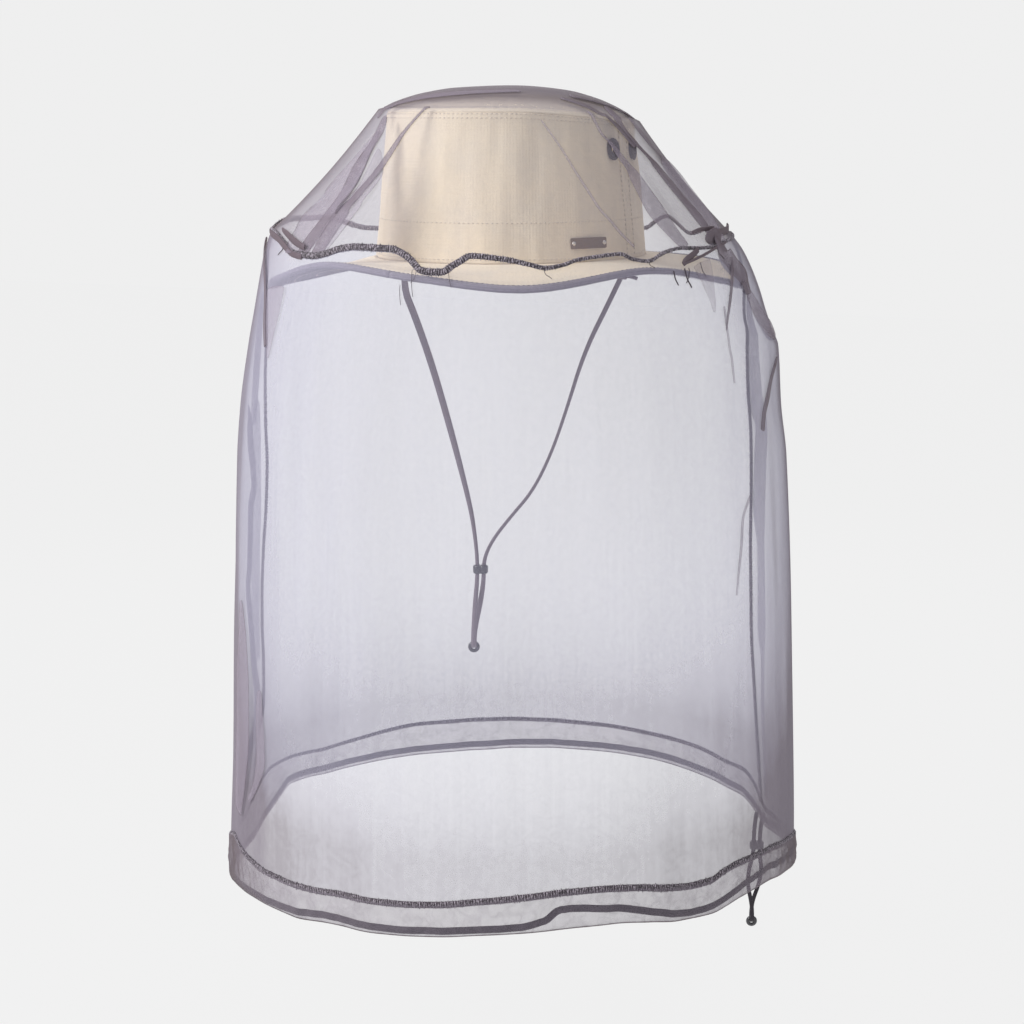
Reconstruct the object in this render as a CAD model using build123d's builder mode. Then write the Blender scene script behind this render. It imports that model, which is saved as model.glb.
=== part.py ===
from build123d import *
from math import cos, degrees, pi, radians, sin, tan
import os

# A cotton bucket hat with a separate net veil hung over it. Millimetres, +Z up.
# The origin is the middle of the head opening, where the crown meets the brim.
# -Y is the wearer's front and +X the wearer's left.
# Angles round the hat are in degrees: 0 at the wearer's front, 90 at the wearer's left.

# ---- Hat ----
crown_half_width = 88.0  # at the base, outside the cloth
crown_half_length = 103.0
crown_height = 94.0
crown_taper = 0.905  # size of the crown's top over its base
crown_wall = 1.0
tip_rise = 15.0  # dome of the tip above the crown's side
sweatband_height = 27.0
sweatband_wall = 1.2
sweatband_gap = 0.2  # between the sweatband and the crown

brim_width = 65.0
brim_cloth = 0.8  # top cloth and underside, each
brim_core = 1.0  # interlining
brim_drop = 0.1  # brim below the crown's cut edge
# height of the brim's wavy edge: (angle, height)
brim_wave = [
    (-16, 2.5), (6, -3.5), (28, -9.6), (58, -0.5), (88, -11), (116, -19.5), (139, -9),
    (167, -7), (196, -9), (226, -12), (252, -14.5), (275, -19), (296, -20), (320, -9),
]
binding_width = 5.0
binding_cloth = 0.6
binding_edge = 1.2
binding_gap = 0.1  # between the binding and the brim's cloth

# ---- Hat fittings ----
badge_angle = 59.0
badge_height = 12.0  # its middle, above the brim
badge_length = 29.0
badge_width = 7.0
badge_plate_wall = 0.8
badge_gap = 0.1
rivet_radius = 1.5
badge_corner = 1.0
rivet_inset = 2.2  # rivet centre from the plate's end
rivet_rise = 0.9  # rivet head above the plate
rivet_rounding = 0.6
vent_below_tip = 22.0  # vent middle below the top of the crown's side
vent_spread = 11.5  # degrees each side of the crown's side seams
vent_hole_radius = 3.6
vent_barrel_wall = 0.6
vent_flange_radius = 7.2
vent_flange_wall = 0.7
vent_washer_radius = 6.5
vent_fit = 0.05  # between the barrel and its washer
vent_seat = 0.3  # flange above the cloth at its middle, where the crown curves away

# ---- Cords ----
chin_cord_diameter = 2.4  # the flat braid bunched up
chin_slider_length = 10.0
chin_slider_depth = 6.4
chin_slider_height = 6.3
cord_hole_gap = 0.2  # cord to slider hole
strand_spacing = 4.4  # two strands in a slider
ring_outer_radius = 4.1
ring_wall_radius = 1.3
tab_width = 8.0
tab_length = 10.0
tab_wall = 1.0
tab_inset = 2.8  # tab from the crown's outer face
tab_hole_radius = 2.0
knot_radius = 2.8
slider_turn = 26.0  # the sliders and rings face this angle

cord_inset = 6.0  # the chin cord's ends from the crown's outer face, in their knots
cord_swing = 2.0  # how far it swings out below a knot
cord_end = crown_half_width - cord_inset
# left half, the slider, the end ring's turn, and the right half of the chin cord
chin_cord_points = [
    (-cord_end, 0, -8), (-cord_end - cord_swing, 0.5, -25), (-75, 0.6, -44), (-62, 0, -76),
    (-49, -1.6, -113),
    (-38, -3.6, -146), (-28.6, -5.6, -176), (-24.0, -8.4, -195), (-21.5, -10.5, -209),
    (-21.5, -10.5, -223), (-21.9, -12.8, -238), (-22.0, -14.2, -253), (-22.3, -14.5, -263),
    (-22.3, -14.5, -271), (-25.1, -8.7, -271), (-25.1, -8.7, -263), (-23.6, -8.2, -253),
    (-20.0, -8.0, -238), (-17.5, -8.5, -223), (-17.5, -8.5, -209), (-10.8, -8.6, -195),
    (2, -6.0, -178), (17, -3.0, -160), (30, -1.6, -134), (42, -3.2, -103),
    (56, -4.8, -62), (74, -3.6, -27), (cord_end, 0, -8),
]
chin_slider_at = (-19.5, -9.5, -216.0)
drawcord_diameter = 2.4
drawcord_angle = 137.0  # where its loop leaves the hem
# from the hem down through the slider, round the ring and back up to the hem,
# measured from the hem's wall at this angle
drawcord_steps = [
    (-2.0, 1.0, -414.4), (-2.6, -0.8, -422), (-2.8, -1.9, -432), (-2.8, -1.9, -446),
    (-3.5, -3.0, -458), (-3.6, -4.2, -470), (-2.5, -5.4, -482), (-1.8, -5.0, -490),
    (-1.8, -5.0, -498), (-4.6, 0.8, -498), (-4.6, 0.8, -490), (-3.5, 1.3, -482),
    (-1.3, 1.3, -470), (0.6, 0.6, -458), (1.2, 0, -446), (1.2, 0, -432), (1.8, 0.3, -422),
    (3.6, 0.4, -414.4),
]
drawcord_slider_step = (-0.8, -0.95, -439.0)

# ---- Veil ----
veil_wall = 1.0  # net with its fine folds
veil_turn = 26.0  # the veil sits turned on the hat by this angle
side_seam_angle = 110.0  # each side of the veil's own front
brim_half_width = crown_half_width + brim_width
brim_half_length = crown_half_length + brim_width
# the body net from the top seam down: (height, beyond the brim at its sides, at its ends)
veil_flare = [(8, 4, 3), (-15, 8, 6.5), (-60, 23, 10), (-140, 32, 17), (-300, 39, 24)]
veil_levels = [
    (height, brim_half_width + side, brim_half_length + end) for height, side, end in veil_flare
]
hem_flare = 42.0  # hem beyond the brim at its sides
hem_radius = brim_half_width + hem_flare
hem_front_height = -403.0  # lowest edge at the veil's front and back
hem_droop_right = 24.0  # how much lower the hem hangs at the wearer's right
hem_droop_left = 12.0
hem_band_height = 20.0
hem_wall = 0.8
drawcord_tape_width = 4.5
drawcord_tape_wall = 1.2
drawcord_tape_gap = 0.2  # between the tape and the hem's net
drawcord_tape_inset = 1.0  # degrees, from the side seam to each end of the tape
hem_tunnel_width = drawcord_tape_wall + 2 * drawcord_tape_gap
overlock_width = 4.0
overlock_wall = 2.4
seam_gap = 0.2
net_inset = 1.5  # top net inside the body net where they meet
net_bottom = veil_levels[0][0] + overlock_width + 2 * seam_gap
# the top net, from the top seam up to the crown: (height, half width, half length)
tip_top = crown_height + tip_rise
top_net_levels = [
    (net_bottom, veil_levels[0][1] - net_inset, veil_levels[0][2] - net_inset),
    (crown_height * 0.53, crown_half_width + brim_width * 0.54, crown_half_length + brim_width * 0.55),
    (crown_height + 4, crown_half_width * 0.966, crown_half_length * 0.951),
    (tip_top - 3, crown_half_width * 0.795, crown_half_length * 0.796),
    (tip_top + 2, crown_half_width * 0.4545, crown_half_length * 0.466),
    (tip_top + 3, crown_half_width * 0.091, crown_half_length * 0.097),
]

curve_step = 15  # degrees between the points of the veil's level curves


# ---- Helpers ----
def oval_at(half_width, half_length, angle, height):
    """Point on an oval round the Z axis."""
    turn = radians(angle)
    return Vector(half_width * sin(turn), -half_length * cos(turn), height)


def crown_plane(angle, height, stand_off=0.0):
    """Plane on the crown's outer face, facing out, with its X axis level."""
    shrink = 1 - (1 - crown_taper) * height / crown_height
    half_width = crown_half_width * shrink
    half_length = crown_half_length * shrink
    slope = (1 - crown_taper) * crown_half_width / crown_height
    turn = radians(angle)
    outward = Vector(sin(turn) / half_width, -cos(turn) / half_length, 0).normalized()
    outward = (outward + Vector(0, 0, slope)).normalized()
    level = Vector(0, 0, 1).cross(outward).normalized()
    spot = oval_at(half_width, half_length, angle, height) + outward * stand_off
    return Plane(origin=spot, x_dir=level, z_dir=outward)


def ring_solid(curves, closed=True):
    """Solid whose cross-section corners run along the given curves. An open one has an even
    number of curves, the outer ones in order and then the inner ones back, and gets end caps."""
    faces = [
        Face.make_surface_from_curves(first, second)
        for first, second in zip(curves, curves[1:] + curves[:1])
    ]
    if not closed:
        for place in (0, 1):
            ends = [curve @ place for curve in curves]
            for low in range(len(curves) // 2 - 1):
                high = len(curves) - 1 - low
                outer_edge = Edge.make_line(ends[low], ends[low + 1])
                inner_edge = Edge.make_line(ends[high], ends[high - 1])
                faces.append(Face.make_surface_from_curves(outer_edge, inner_edge))
    solid = Solid(Shell(faces))
    return solid if solid.volume > 0 else Solid(solid.wrapped.Reversed())


def brim_curve(grow, drop, share=1.0):
    """Closed curve on the brim at a share of its width, grown outwards and dropped."""
    points = []
    for angle, edge_height in brim_wave:
        inner = oval_at(crown_half_width - crown_wall, crown_half_length - crown_wall, angle, 0)
        outer_width = crown_half_width + brim_width + grow
        outer_length = crown_half_length + brim_width + grow
        outer = oval_at(outer_width, outer_length, angle, edge_height)
        points.append(inner + (outer - inner) * share - Vector(0, 0, drop + brim_drop))
    return Edge.make_spline(points, periodic=True)


def brim_layer(top, thickness):
    """One cloth of the brim, whose top face lies this far below the brim's top."""
    low = top + thickness
    corners = [(top, 0), (top, 1), (low, 1), (low, 0)]
    return ring_solid([brim_curve(0, drop, share) for drop, share in corners])


def hem_height(angle):
    """Height of the hem's lowest edge: it droops at the veil's sides."""
    sideways = sin(radians(angle - veil_turn))
    droop = hem_droop_left if sideways > 0 else hem_droop_right
    return hem_front_height - droop * sideways ** 2


def level_curve(half_width, half_length, height, first=0, last=360):
    """Curve round the veil. The height is a number or a function of the angle."""
    whole = last - first == 360
    steps = round((last - first) / curve_step)
    steps = max(steps, 2)
    angles = [first + (last - first) * n / steps for n in range(steps if whole else steps + 1)]
    heights = [height(angle) if callable(height) else height for angle in angles]
    points = [oval_at(half_width, half_length, a, h) for a, h in zip(angles, heights)]
    return Edge.make_spline(points, periodic=whole)


def hem_curve(radius, above, first=0, last=360):
    """Curve that follows the hem's lowest edge at a height above it."""
    return level_curve(radius, radius, lambda angle: hem_height(angle) + above, first, last)


def body_wall(inset, wall, first, last):
    """Part of the veil's body between the top seam and the hem overlock."""
    above_hem = hem_band_height + overlock_width + seam_gap
    outer = [level_curve(w - inset, l - inset, h, first, last) for h, w, l in veil_levels]
    outer.append(hem_curve(hem_radius - inset, above_hem, first, last))
    inset += wall
    inner = [level_curve(w - inset, l - inset, h, first, last) for h, w, l in veil_levels]
    inner.append(hem_curve(hem_radius - inset, above_hem, first, last))
    return ring_solid(outer + inner[::-1], closed=False)


def cord_path(points):
    """Straight runs joined by tangent arcs, each as large as its runs allow."""
    points = [Vector(*point) for point in points]
    radii = []
    for before, here, after in zip(points, points[1:], points[2:]):
        shorter = min((here - before).length, (after - here).length)
        turn = radians((here - before).get_angle(after - here))
        radii.append(0.45 * shorter / tan(turn / 2))
    return points, radii


def print_cord(name, solid, path_length, diameter, radii):
    """Compare a cord's volume with its section times its length."""
    expected = pi * diameter ** 2 / 4 * path_length
    print(name, "length", round(path_length, 1), "volume ratio", round(solid.volume / expected, 4))
    print(name, "radii", [round(radius, 1) for radius in radii])


os.makedirs("parts", exist_ok=True)
vent_height = crown_height - vent_below_tip
side_seams = [90, 270]  # the crown's side seams

# ---- Crown ----
with BuildPart() as crown:
    for mode, inset in ((Mode.ADD, 0), (Mode.SUBTRACT, crown_wall)):
        with BuildSketch():
            Ellipse(crown_half_width - inset, crown_half_length - inset)
        with BuildSketch(Plane.XY.offset(crown_height)):
            Ellipse(crown_half_width * crown_taper - inset, crown_half_length * crown_taper - inset)
        loft(mode=mode)
    for seam in side_seams:
        for spread in (-vent_spread, vent_spread):
            with BuildSketch(crown_plane(seam + spread, vent_height)):
                Circle(vent_hole_radius + vent_barrel_wall)
            extrude(amount=3 * crown_wall, both=True, mode=Mode.SUBTRACT)

with BuildPart() as crown_front_panel:
    add(crown.part)
    split(bisect_by=Plane.XZ, keep=Keep.TOP)
crown_front_panel.part.label = "crown_front_panel"
export_step(crown_front_panel.part, "parts/crown_front_panel.step")

with BuildPart() as crown_back_panel:
    add(crown.part)
    split(bisect_by=Plane.XZ, keep=Keep.BOTTOM)
crown_back_panel.part.label = "crown_back_panel"
export_step(crown_back_panel.part, "parts/crown_back_panel.step")

# share of the tip's rise and of the top's size, from the edge to the middle
tip_profile = [(0, 1.0), (0.45, 0.93), (0.8, 0.72), (1.0, 0.3)]
with BuildPart() as crown_tip:
    for mode, inset in ((Mode.ADD, 0), (Mode.SUBTRACT, crown_wall)):
        for rise, share in tip_profile:
            height = crown_height + rise * (tip_rise - inset)
            with BuildSketch(Plane.XY.offset(height)):
                top_width = crown_half_width * crown_taper - inset
                top_length = crown_half_length * crown_taper - inset
                Ellipse(top_width * share, top_length * share)
        loft(ruled=True, mode=mode)
crown_tip.part.label = "crown_tip"
export_step(crown_tip.part, "parts/crown_tip.step")

with BuildPart() as sweatband:
    outer_inset = crown_wall + sweatband_gap
    for mode, inset in ((Mode.ADD, outer_inset), (Mode.SUBTRACT, outer_inset + sweatband_wall)):
        for height in (sweatband_gap, sweatband_height):
            shrink = 1 - (1 - crown_taper) * height / crown_height
            with BuildSketch(Plane.XY.offset(height)):
                Ellipse(crown_half_width * shrink - inset, crown_half_length * shrink - inset)
        loft(mode=mode)
sweatband.part.label = "sweatband"
export_step(sweatband.part, "parts/sweatband.step")

# ---- Brim ----
brim_wall = 2 * brim_cloth + brim_core
with BuildPart() as brim_top:
    add(brim_layer(0, brim_cloth))
brim_top.part.label = "brim_top"
export_step(brim_top.part, "parts/brim_top.step")

with BuildPart() as brim_interlining:
    add(brim_layer(brim_cloth, brim_core))
brim_interlining.part.label = "brim_interlining"
export_step(brim_interlining.part, "parts/brim_interlining.step")

with BuildPart() as brim_underside:
    add(brim_layer(brim_cloth + brim_core, brim_cloth))
brim_underside.part.label = "brim_underside"
export_step(brim_underside.part, "parts/brim_underside.step")

with BuildPart() as brim_binding:
    flange = 1 - binding_width / brim_width
    cloth = binding_cloth + binding_gap
    add(ring_solid([
        brim_curve(0, -cloth, flange),
        brim_curve(binding_edge, -cloth),
        brim_curve(binding_edge, brim_wall + cloth),
        brim_curve(0, brim_wall + cloth, flange),
        brim_curve(0, brim_wall + binding_gap, flange),
        brim_curve(binding_gap, brim_wall + binding_gap),
        brim_curve(binding_gap, -binding_gap),
        brim_curve(0, -binding_gap, flange),
    ]))
brim_binding.part.label = "brim_binding"
export_step(brim_binding.part, "parts/brim_binding.step")

# ---- Badge ----
badge_plane = crown_plane(badge_angle, badge_height)
with BuildPart() as badge_plate:
    for mode, stand_off in ((Mode.ADD, badge_gap + badge_plate_wall), (Mode.SUBTRACT, badge_gap)):
        for height in (0, crown_height):
            shrink = 1 - (1 - crown_taper) * height / crown_height
            with BuildSketch(Plane.XY.offset(height)):
                Ellipse(crown_half_width * shrink + stand_off, crown_half_length * shrink + stand_off)
        loft(mode=mode)
    with BuildSketch(badge_plane):
        RectangleRounded(badge_length, badge_width, badge_corner)
    extrude(amount=4 * badge_plate_wall, both=True, mode=Mode.INTERSECT)
badge_plate.part.label = "badge_plate"
export_step(badge_plate.part, "parts/badge_plate.step")

rivet_turn = degrees((badge_length / 2 - rivet_inset) / crown_half_width)
with BuildPart() as badge_rivets:
    for side in (-1, 1):
        stand_off = badge_gap + badge_plate_wall
        rivet_plane = crown_plane(badge_angle + side * rivet_turn, badge_height, stand_off)
        with BuildSketch(rivet_plane):
            Circle(rivet_radius)
        extrude(amount=rivet_rise)
    fillet(badge_rivets.edges().filter_by(GeomType.CIRCLE).group_by(
        lambda edge: edge.arc_center.dot(badge_plane.z_dir))[-1], rivet_rounding)
badge_rivets.part.label = "badge_rivets"
export_step(badge_rivets.part, "parts/badge_rivets.step")

# ---- Vent eyelets ----
barrel_radius = vent_hole_radius + vent_barrel_wall - vent_fit
with BuildPart() as vent_eyelets:
    for seam in side_seams:
        for spread in (-vent_spread, vent_spread):
            with BuildSketch(crown_plane(seam + spread, vent_height, vent_seat)):
                Circle(vent_flange_radius)
                Circle(vent_hole_radius, mode=Mode.SUBTRACT)
            extrude(amount=vent_flange_wall)
            with BuildSketch(crown_plane(seam + spread, vent_height, vent_seat)):
                Circle(barrel_radius)
                Circle(vent_hole_radius, mode=Mode.SUBTRACT)
            extrude(amount=-(vent_seat + crown_wall + 2 * vent_flange_wall))
vent_eyelets.part.label = "vent_eyelets"
export_step(vent_eyelets.part, "parts/vent_eyelets.step")

with BuildPart() as eyelet_washers:
    for seam in side_seams:
        for spread in (-vent_spread, vent_spread):
            stand_off = -(crown_wall + vent_seat + vent_flange_wall)
            with BuildSketch(crown_plane(seam + spread, vent_height, stand_off)):
                Circle(vent_washer_radius)
                Circle(barrel_radius + vent_fit, mode=Mode.SUBTRACT)
            extrude(amount=vent_flange_wall)
eyelet_washers.part.label = "eyelet_washers"
export_step(eyelet_washers.part, "parts/eyelet_washers.step")

# ---- Chin cord ----
tab_face = crown_half_width - tab_inset - tab_wall
with BuildPart() as chin_cord_tabs:
    for side in (-1, 1):
        middle = (side * (tab_face + tab_wall / 2), 0, -tab_length / 2)
        with BuildSketch(Plane(origin=middle, x_dir=(0, 1, 0), z_dir=(1, 0, 0))):
            Rectangle(tab_width, tab_length)
            Circle(tab_hole_radius, mode=Mode.SUBTRACT)
        extrude(amount=tab_wall / 2, both=True)
chin_cord_tabs.part.label = "chin_cord_tabs"
export_step(chin_cord_tabs.part, "parts/chin_cord_tabs.step")

with BuildPart() as chin_cord_knots:
    for side in (-1, 1):
        with Locations((side * (tab_face - knot_radius), 0, -tab_length / 2)):
            Sphere(knot_radius)
chin_cord_knots.part.label = "chin_cord_knots"
export_step(chin_cord_knots.part, "parts/chin_cord_knots.step")

route, radii = cord_path(chin_cord_points)
with BuildPart() as chin_cord:
    with BuildLine() as chin_line:
        FilletPolyline(*route, radius=radii)
    with BuildSketch(Plane(origin=route[0], z_dir=route[1] - route[0])):
        Circle(chin_cord_diameter / 2)
    sweep(path=chin_line.wires()[0])
print_cord("chin_cord", chin_cord.part, chin_line.wires()[0].length, chin_cord_diameter, radii)
chin_cord.part.label = "chin_cord"
export_step(chin_cord.part, "parts/chin_cord.step")

view_side = Vector(cos(radians(slider_turn)), sin(radians(slider_turn)), 0)
view_away = Vector(-sin(radians(slider_turn)), cos(radians(slider_turn)), 0)


def slider_sketch(diameter):
    """Outline of a slider bead with its two cord holes."""
    with BuildSketch(mode=Mode.PRIVATE) as outline:
        SlotOverall(chin_slider_length, chin_slider_depth)
        with GridLocations(strand_spacing, 0, 2, 1):
            Circle(diameter / 2 + cord_hole_gap, mode=Mode.SUBTRACT)
    return outline.sketch


with BuildPart() as chin_cord_slider:
    low_face = Vector(*chin_slider_at) - Vector(0, 0, chin_slider_height / 2)
    with BuildSketch(Plane(origin=low_face, x_dir=view_side, z_dir=(0, 0, 1))):
        add(slider_sketch(chin_cord_diameter))
    extrude(amount=chin_slider_height)
chin_cord_slider.part.label = "chin_cord_slider"
export_step(chin_cord_slider.part, "parts/chin_cord_slider.step")


def ring_plane(points):
    """Plane of an end ring, which hangs in the middle of its cord's lowest run."""
    points = [Vector(*point) for point in points]
    lowest = min(range(len(points)), key=lambda n: points[n].Z)
    middle = (points[lowest] + points[lowest + 1]) / 2
    return Plane(origin=middle, x_dir=view_side, z_dir=view_away)


with BuildPart() as chin_cord_ring:
    with Locations(ring_plane(chin_cord_points)):
        Torus(ring_outer_radius - ring_wall_radius, ring_wall_radius)
chin_cord_ring.part.label = "chin_cord_ring"
export_step(chin_cord_ring.part, "parts/chin_cord_ring.step")

# ---- Veil ----
with BuildPart() as veil_top:
    for mode, inset in ((Mode.ADD, 0), (Mode.SUBTRACT, veil_wall)):
        for height, half_width, half_length in top_net_levels:
            drop = inset if height > crown_height else 0
            with BuildSketch(Plane.XY.offset(height - drop)):
                Ellipse(half_width - inset, half_length - inset)
        loft(ruled=True, mode=mode)
veil_top.part.label = "veil_top"
export_step(veil_top.part, "parts/veil_top.step")

first_height, first_width, first_length = veil_levels[0]
net_top, net_width, net_length = top_net_levels[0]
with BuildPart() as veil_top_seam:
    overhang = (overlock_wall - veil_wall) / 2
    low, high = first_height + seam_gap, net_top - seam_gap
    add(ring_solid([
        level_curve(net_width + overhang, net_length + overhang, high),
        level_curve(first_width + overhang, first_length + overhang, low),
        level_curve(first_width - veil_wall - overhang, first_length - veil_wall - overhang, low),
        level_curve(net_width - veil_wall - overhang, net_length - veil_wall - overhang, high),
    ]))
veil_top_seam.part.label = "veil_top_seam"
export_step(veil_top_seam.part, "parts/veil_top_seam.step")

left_seam = veil_turn + side_seam_angle
right_seam = veil_turn - side_seam_angle
half_seam = degrees(overlock_width / 2 / hem_radius)
seam_clear = degrees((overlock_width / 2 + seam_gap) / first_width)

with BuildPart() as veil_front:
    add(body_wall(0, veil_wall, right_seam + seam_clear, left_seam - seam_clear))
veil_front.part.label = "veil_front"
export_step(veil_front.part, "parts/veil_front.step")

with BuildPart() as veil_back:
    add(body_wall(0, veil_wall, left_seam + seam_clear, right_seam + 360 - seam_clear))
veil_back.part.label = "veil_back"
export_step(veil_back.part, "parts/veil_back.step")

with BuildPart() as veil_left_seam:
    add(body_wall(-overhang, overlock_wall, left_seam - half_seam, left_seam + half_seam))
veil_left_seam.part.label = "veil_left_seam"
export_step(veil_left_seam.part, "parts/veil_left_seam.step")

with BuildPart() as veil_right_seam:
    add(body_wall(-overhang, overlock_wall, right_seam - half_seam, right_seam + half_seam))
veil_right_seam.part.label = "veil_right_seam"
export_step(veil_right_seam.part, "parts/veil_right_seam.step")

# ---- Hem ----
hem_thickness = 2 * hem_wall + hem_tunnel_width
hem_outer = hem_radius + (hem_thickness - veil_wall) / 2
hem_inner = hem_outer - hem_thickness
with BuildPart() as hem_band:
    add(ring_solid([
        hem_curve(hem_outer, hem_band_height),
        hem_curve(hem_outer, 0),
        hem_curve(hem_inner, 0),
        hem_curve(hem_inner, hem_band_height),
        hem_curve(hem_inner + hem_wall, hem_band_height),
        hem_curve(hem_inner + hem_wall, hem_wall),
        hem_curve(hem_outer - hem_wall, hem_wall),
        hem_curve(hem_outer - hem_wall, hem_band_height),
    ]))
hem_band.part.label = "hem_band"
export_step(hem_band.part, "parts/hem_band.step")

with BuildPart() as hem_overlock:
    low = hem_band_height + seam_gap
    high = hem_band_height + overlock_width
    add(ring_solid([
        hem_curve(hem_outer, high),
        hem_curve(hem_outer, low),
        hem_curve(hem_inner, low),
        hem_curve(hem_inner, high),
    ]))
hem_overlock.part.label = "hem_overlock"
export_step(hem_overlock.part, "parts/hem_overlock.step")

with BuildPart() as hem_drawcord:
    low = hem_wall + drawcord_tape_gap
    high = low + drawcord_tape_width
    tape_outer = hem_outer - hem_wall - drawcord_tape_gap
    tape_inner = tape_outer - drawcord_tape_wall
    first = left_seam + drawcord_tape_inset
    last = left_seam + 360 - drawcord_tape_inset
    add(ring_solid([
        hem_curve(tape_outer, high, first, last),
        hem_curve(tape_outer, low, first, last),
        hem_curve(tape_inner, low, first, last),
        hem_curve(tape_inner, high, first, last),
    ], closed=False))
hem_drawcord.part.label = "hem_drawcord"
export_step(hem_drawcord.part, "parts/hem_drawcord.step")

hem_spot = oval_at(hem_radius, hem_radius, drawcord_angle, 0)
drawcord_points = [hem_spot + Vector(*step) for step in drawcord_steps]
route, radii = cord_path(drawcord_points)
with BuildPart() as drawcord_loop:
    with BuildLine() as drawcord_line:
        FilletPolyline(*route, radius=radii)
    with BuildSketch(Plane(origin=route[0], z_dir=route[1] - route[0])):
        Circle(drawcord_diameter / 2)
    sweep(path=drawcord_line.wires()[0])
print_cord("drawcord_loop", drawcord_loop.part, drawcord_line.wires()[0].length, drawcord_diameter, radii)
drawcord_loop.part.label = "drawcord_loop"
export_step(drawcord_loop.part, "parts/drawcord_loop.step")

with BuildPart() as drawcord_slider:
    slider_middle = hem_spot + Vector(*drawcord_slider_step)
    low_face = slider_middle - Vector(0, 0, chin_slider_height / 2)
    with BuildSketch(Plane(origin=low_face, x_dir=view_side, z_dir=(0, 0, 1))):
        add(slider_sketch(drawcord_diameter))
    extrude(amount=chin_slider_height)
drawcord_slider.part.label = "drawcord_slider"
export_step(drawcord_slider.part, "parts/drawcord_slider.step")

with BuildPart() as drawcord_ring:
    with Locations(ring_plane(drawcord_points)):
        Torus(ring_outer_radius - ring_wall_radius, ring_wall_radius)
drawcord_ring.part.label = "drawcord_ring"
export_step(drawcord_ring.part, "parts/drawcord_ring.step")
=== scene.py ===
from bisect import bisect_right
from math import atan2, cos, degrees, exp, hypot, pi, radians, sin, sqrt

import bmesh
import bpy
from bpy.props import FloatProperty, FloatVectorProperty, PointerProperty
from mathutils import Matrix, Vector, noise


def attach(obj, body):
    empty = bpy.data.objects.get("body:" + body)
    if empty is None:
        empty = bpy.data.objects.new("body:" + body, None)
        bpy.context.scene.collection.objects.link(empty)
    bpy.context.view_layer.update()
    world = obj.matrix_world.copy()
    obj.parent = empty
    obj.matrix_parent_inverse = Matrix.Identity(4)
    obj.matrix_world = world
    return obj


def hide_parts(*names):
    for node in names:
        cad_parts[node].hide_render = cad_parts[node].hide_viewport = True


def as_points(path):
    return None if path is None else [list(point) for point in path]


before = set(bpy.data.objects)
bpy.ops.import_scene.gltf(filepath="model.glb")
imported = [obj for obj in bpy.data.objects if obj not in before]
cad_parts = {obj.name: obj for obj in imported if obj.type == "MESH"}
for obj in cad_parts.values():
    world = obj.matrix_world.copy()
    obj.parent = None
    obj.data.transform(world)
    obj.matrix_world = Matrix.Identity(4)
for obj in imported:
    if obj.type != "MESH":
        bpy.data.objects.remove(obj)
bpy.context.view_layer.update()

bl_info = {
    "name": "Net veil and sun hat",
    "version": (1, 0, 0),
    "blender": (4, 5, 0),
    "location": "View3D > Sidebar > Veil",
    "description": "A cotton bucket hat with a chin cord under a see-through net veil",
    "category": "Object",
}

# Lengths in the tables are millimetres. Angles go round the hat as seen from the viewing
# side: 0 faces the viewer, -90 is at the left and 90 at the right.
MM = 0.001
VIEW_TURN = 26.0  # degrees from the wearer's front to the viewing side

# ---- Hat ----
crown_width, crown_length, crown_height, crown_taper = 88.0, 103.0, 94.0, 0.905
crown_slump = 8.0  # how far the crown's edge sinks at the right as seen
brim_width, brim_wall = 65.0, 2.6
brim_stretch, brim_stretch_angle = 6.5, 294  # how far the brim is stretched, and where
brim_wave = [
    (-16, 2.5), (6, -3.5), (28, -9.6), (58, -0.5), (88, -11), (116, -19.5), (139, -9),
    (167, -7), (196, -9), (226, -12), (252, -14.5), (275, -19), (296, -20), (320, -9),
]
tip_dome = [(0, 108.2), (0.3, 107.6), (0.72, 103.4), (0.93, 98), (1.0, 94)]
side_seams = (90, 270)
vent_height, vent_spread = 72.0, 11.5
vent_reach = 4.6  # radius of the hole in the cloth
badge_angle, badge_height = 59.0, 12.0

# ---- Cords: the route of each, from its exit to its far end ----
chin_cord_route = [
    (-82, 0, -8), (-84, 0.5, -25), (-75, 0.6, -44), (-62, 0, -76), (-49, -1.6, -113),
    (-38, -3.6, -146), (-28.6, -5.6, -176), (-24.0, -8.4, -195), (-21.5, -10.5, -209),
    (-21.5, -10.5, -223), (-21.9, -12.8, -238), (-22.0, -14.2, -253), (-22.3, -14.5, -263),
    (-22.3, -14.5, -271), (-25.1, -8.7, -271), (-25.1, -8.7, -263), (-23.6, -8.2, -253),
    (-20.0, -8.0, -238), (-17.5, -8.5, -223), (-17.5, -8.5, -209), (-10.8, -8.6, -195),
    (2, -6.0, -178), (17, -3.0, -160), (30, -1.6, -134), (42, -3.2, -103),
    (56, -4.8, -62), (74, -3.6, -27), (82, 0, -8),
]
drawcord_route = [
    (131.0, 143.6, -414.4), (130.4, 141.8, -422), (130.2, 140.7, -432), (130.2, 140.7, -446),
    (127.4, 138.6, -458), (127.4, 137.4, -470), (130.5, 137.2, -482), (131.2, 137.6, -490),
    (131.2, 137.6, -498), (128.4, 143.4, -498), (128.4, 143.4, -490), (129.5, 143.9, -482),
    (133.5, 144.8, -470), (135.6, 144.2, -458), (134.2, 142.6, -446), (134.2, 142.6, -432),
    (134.8, 142.9, -422), (136.6, 143.0, -414.4),
]

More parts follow.
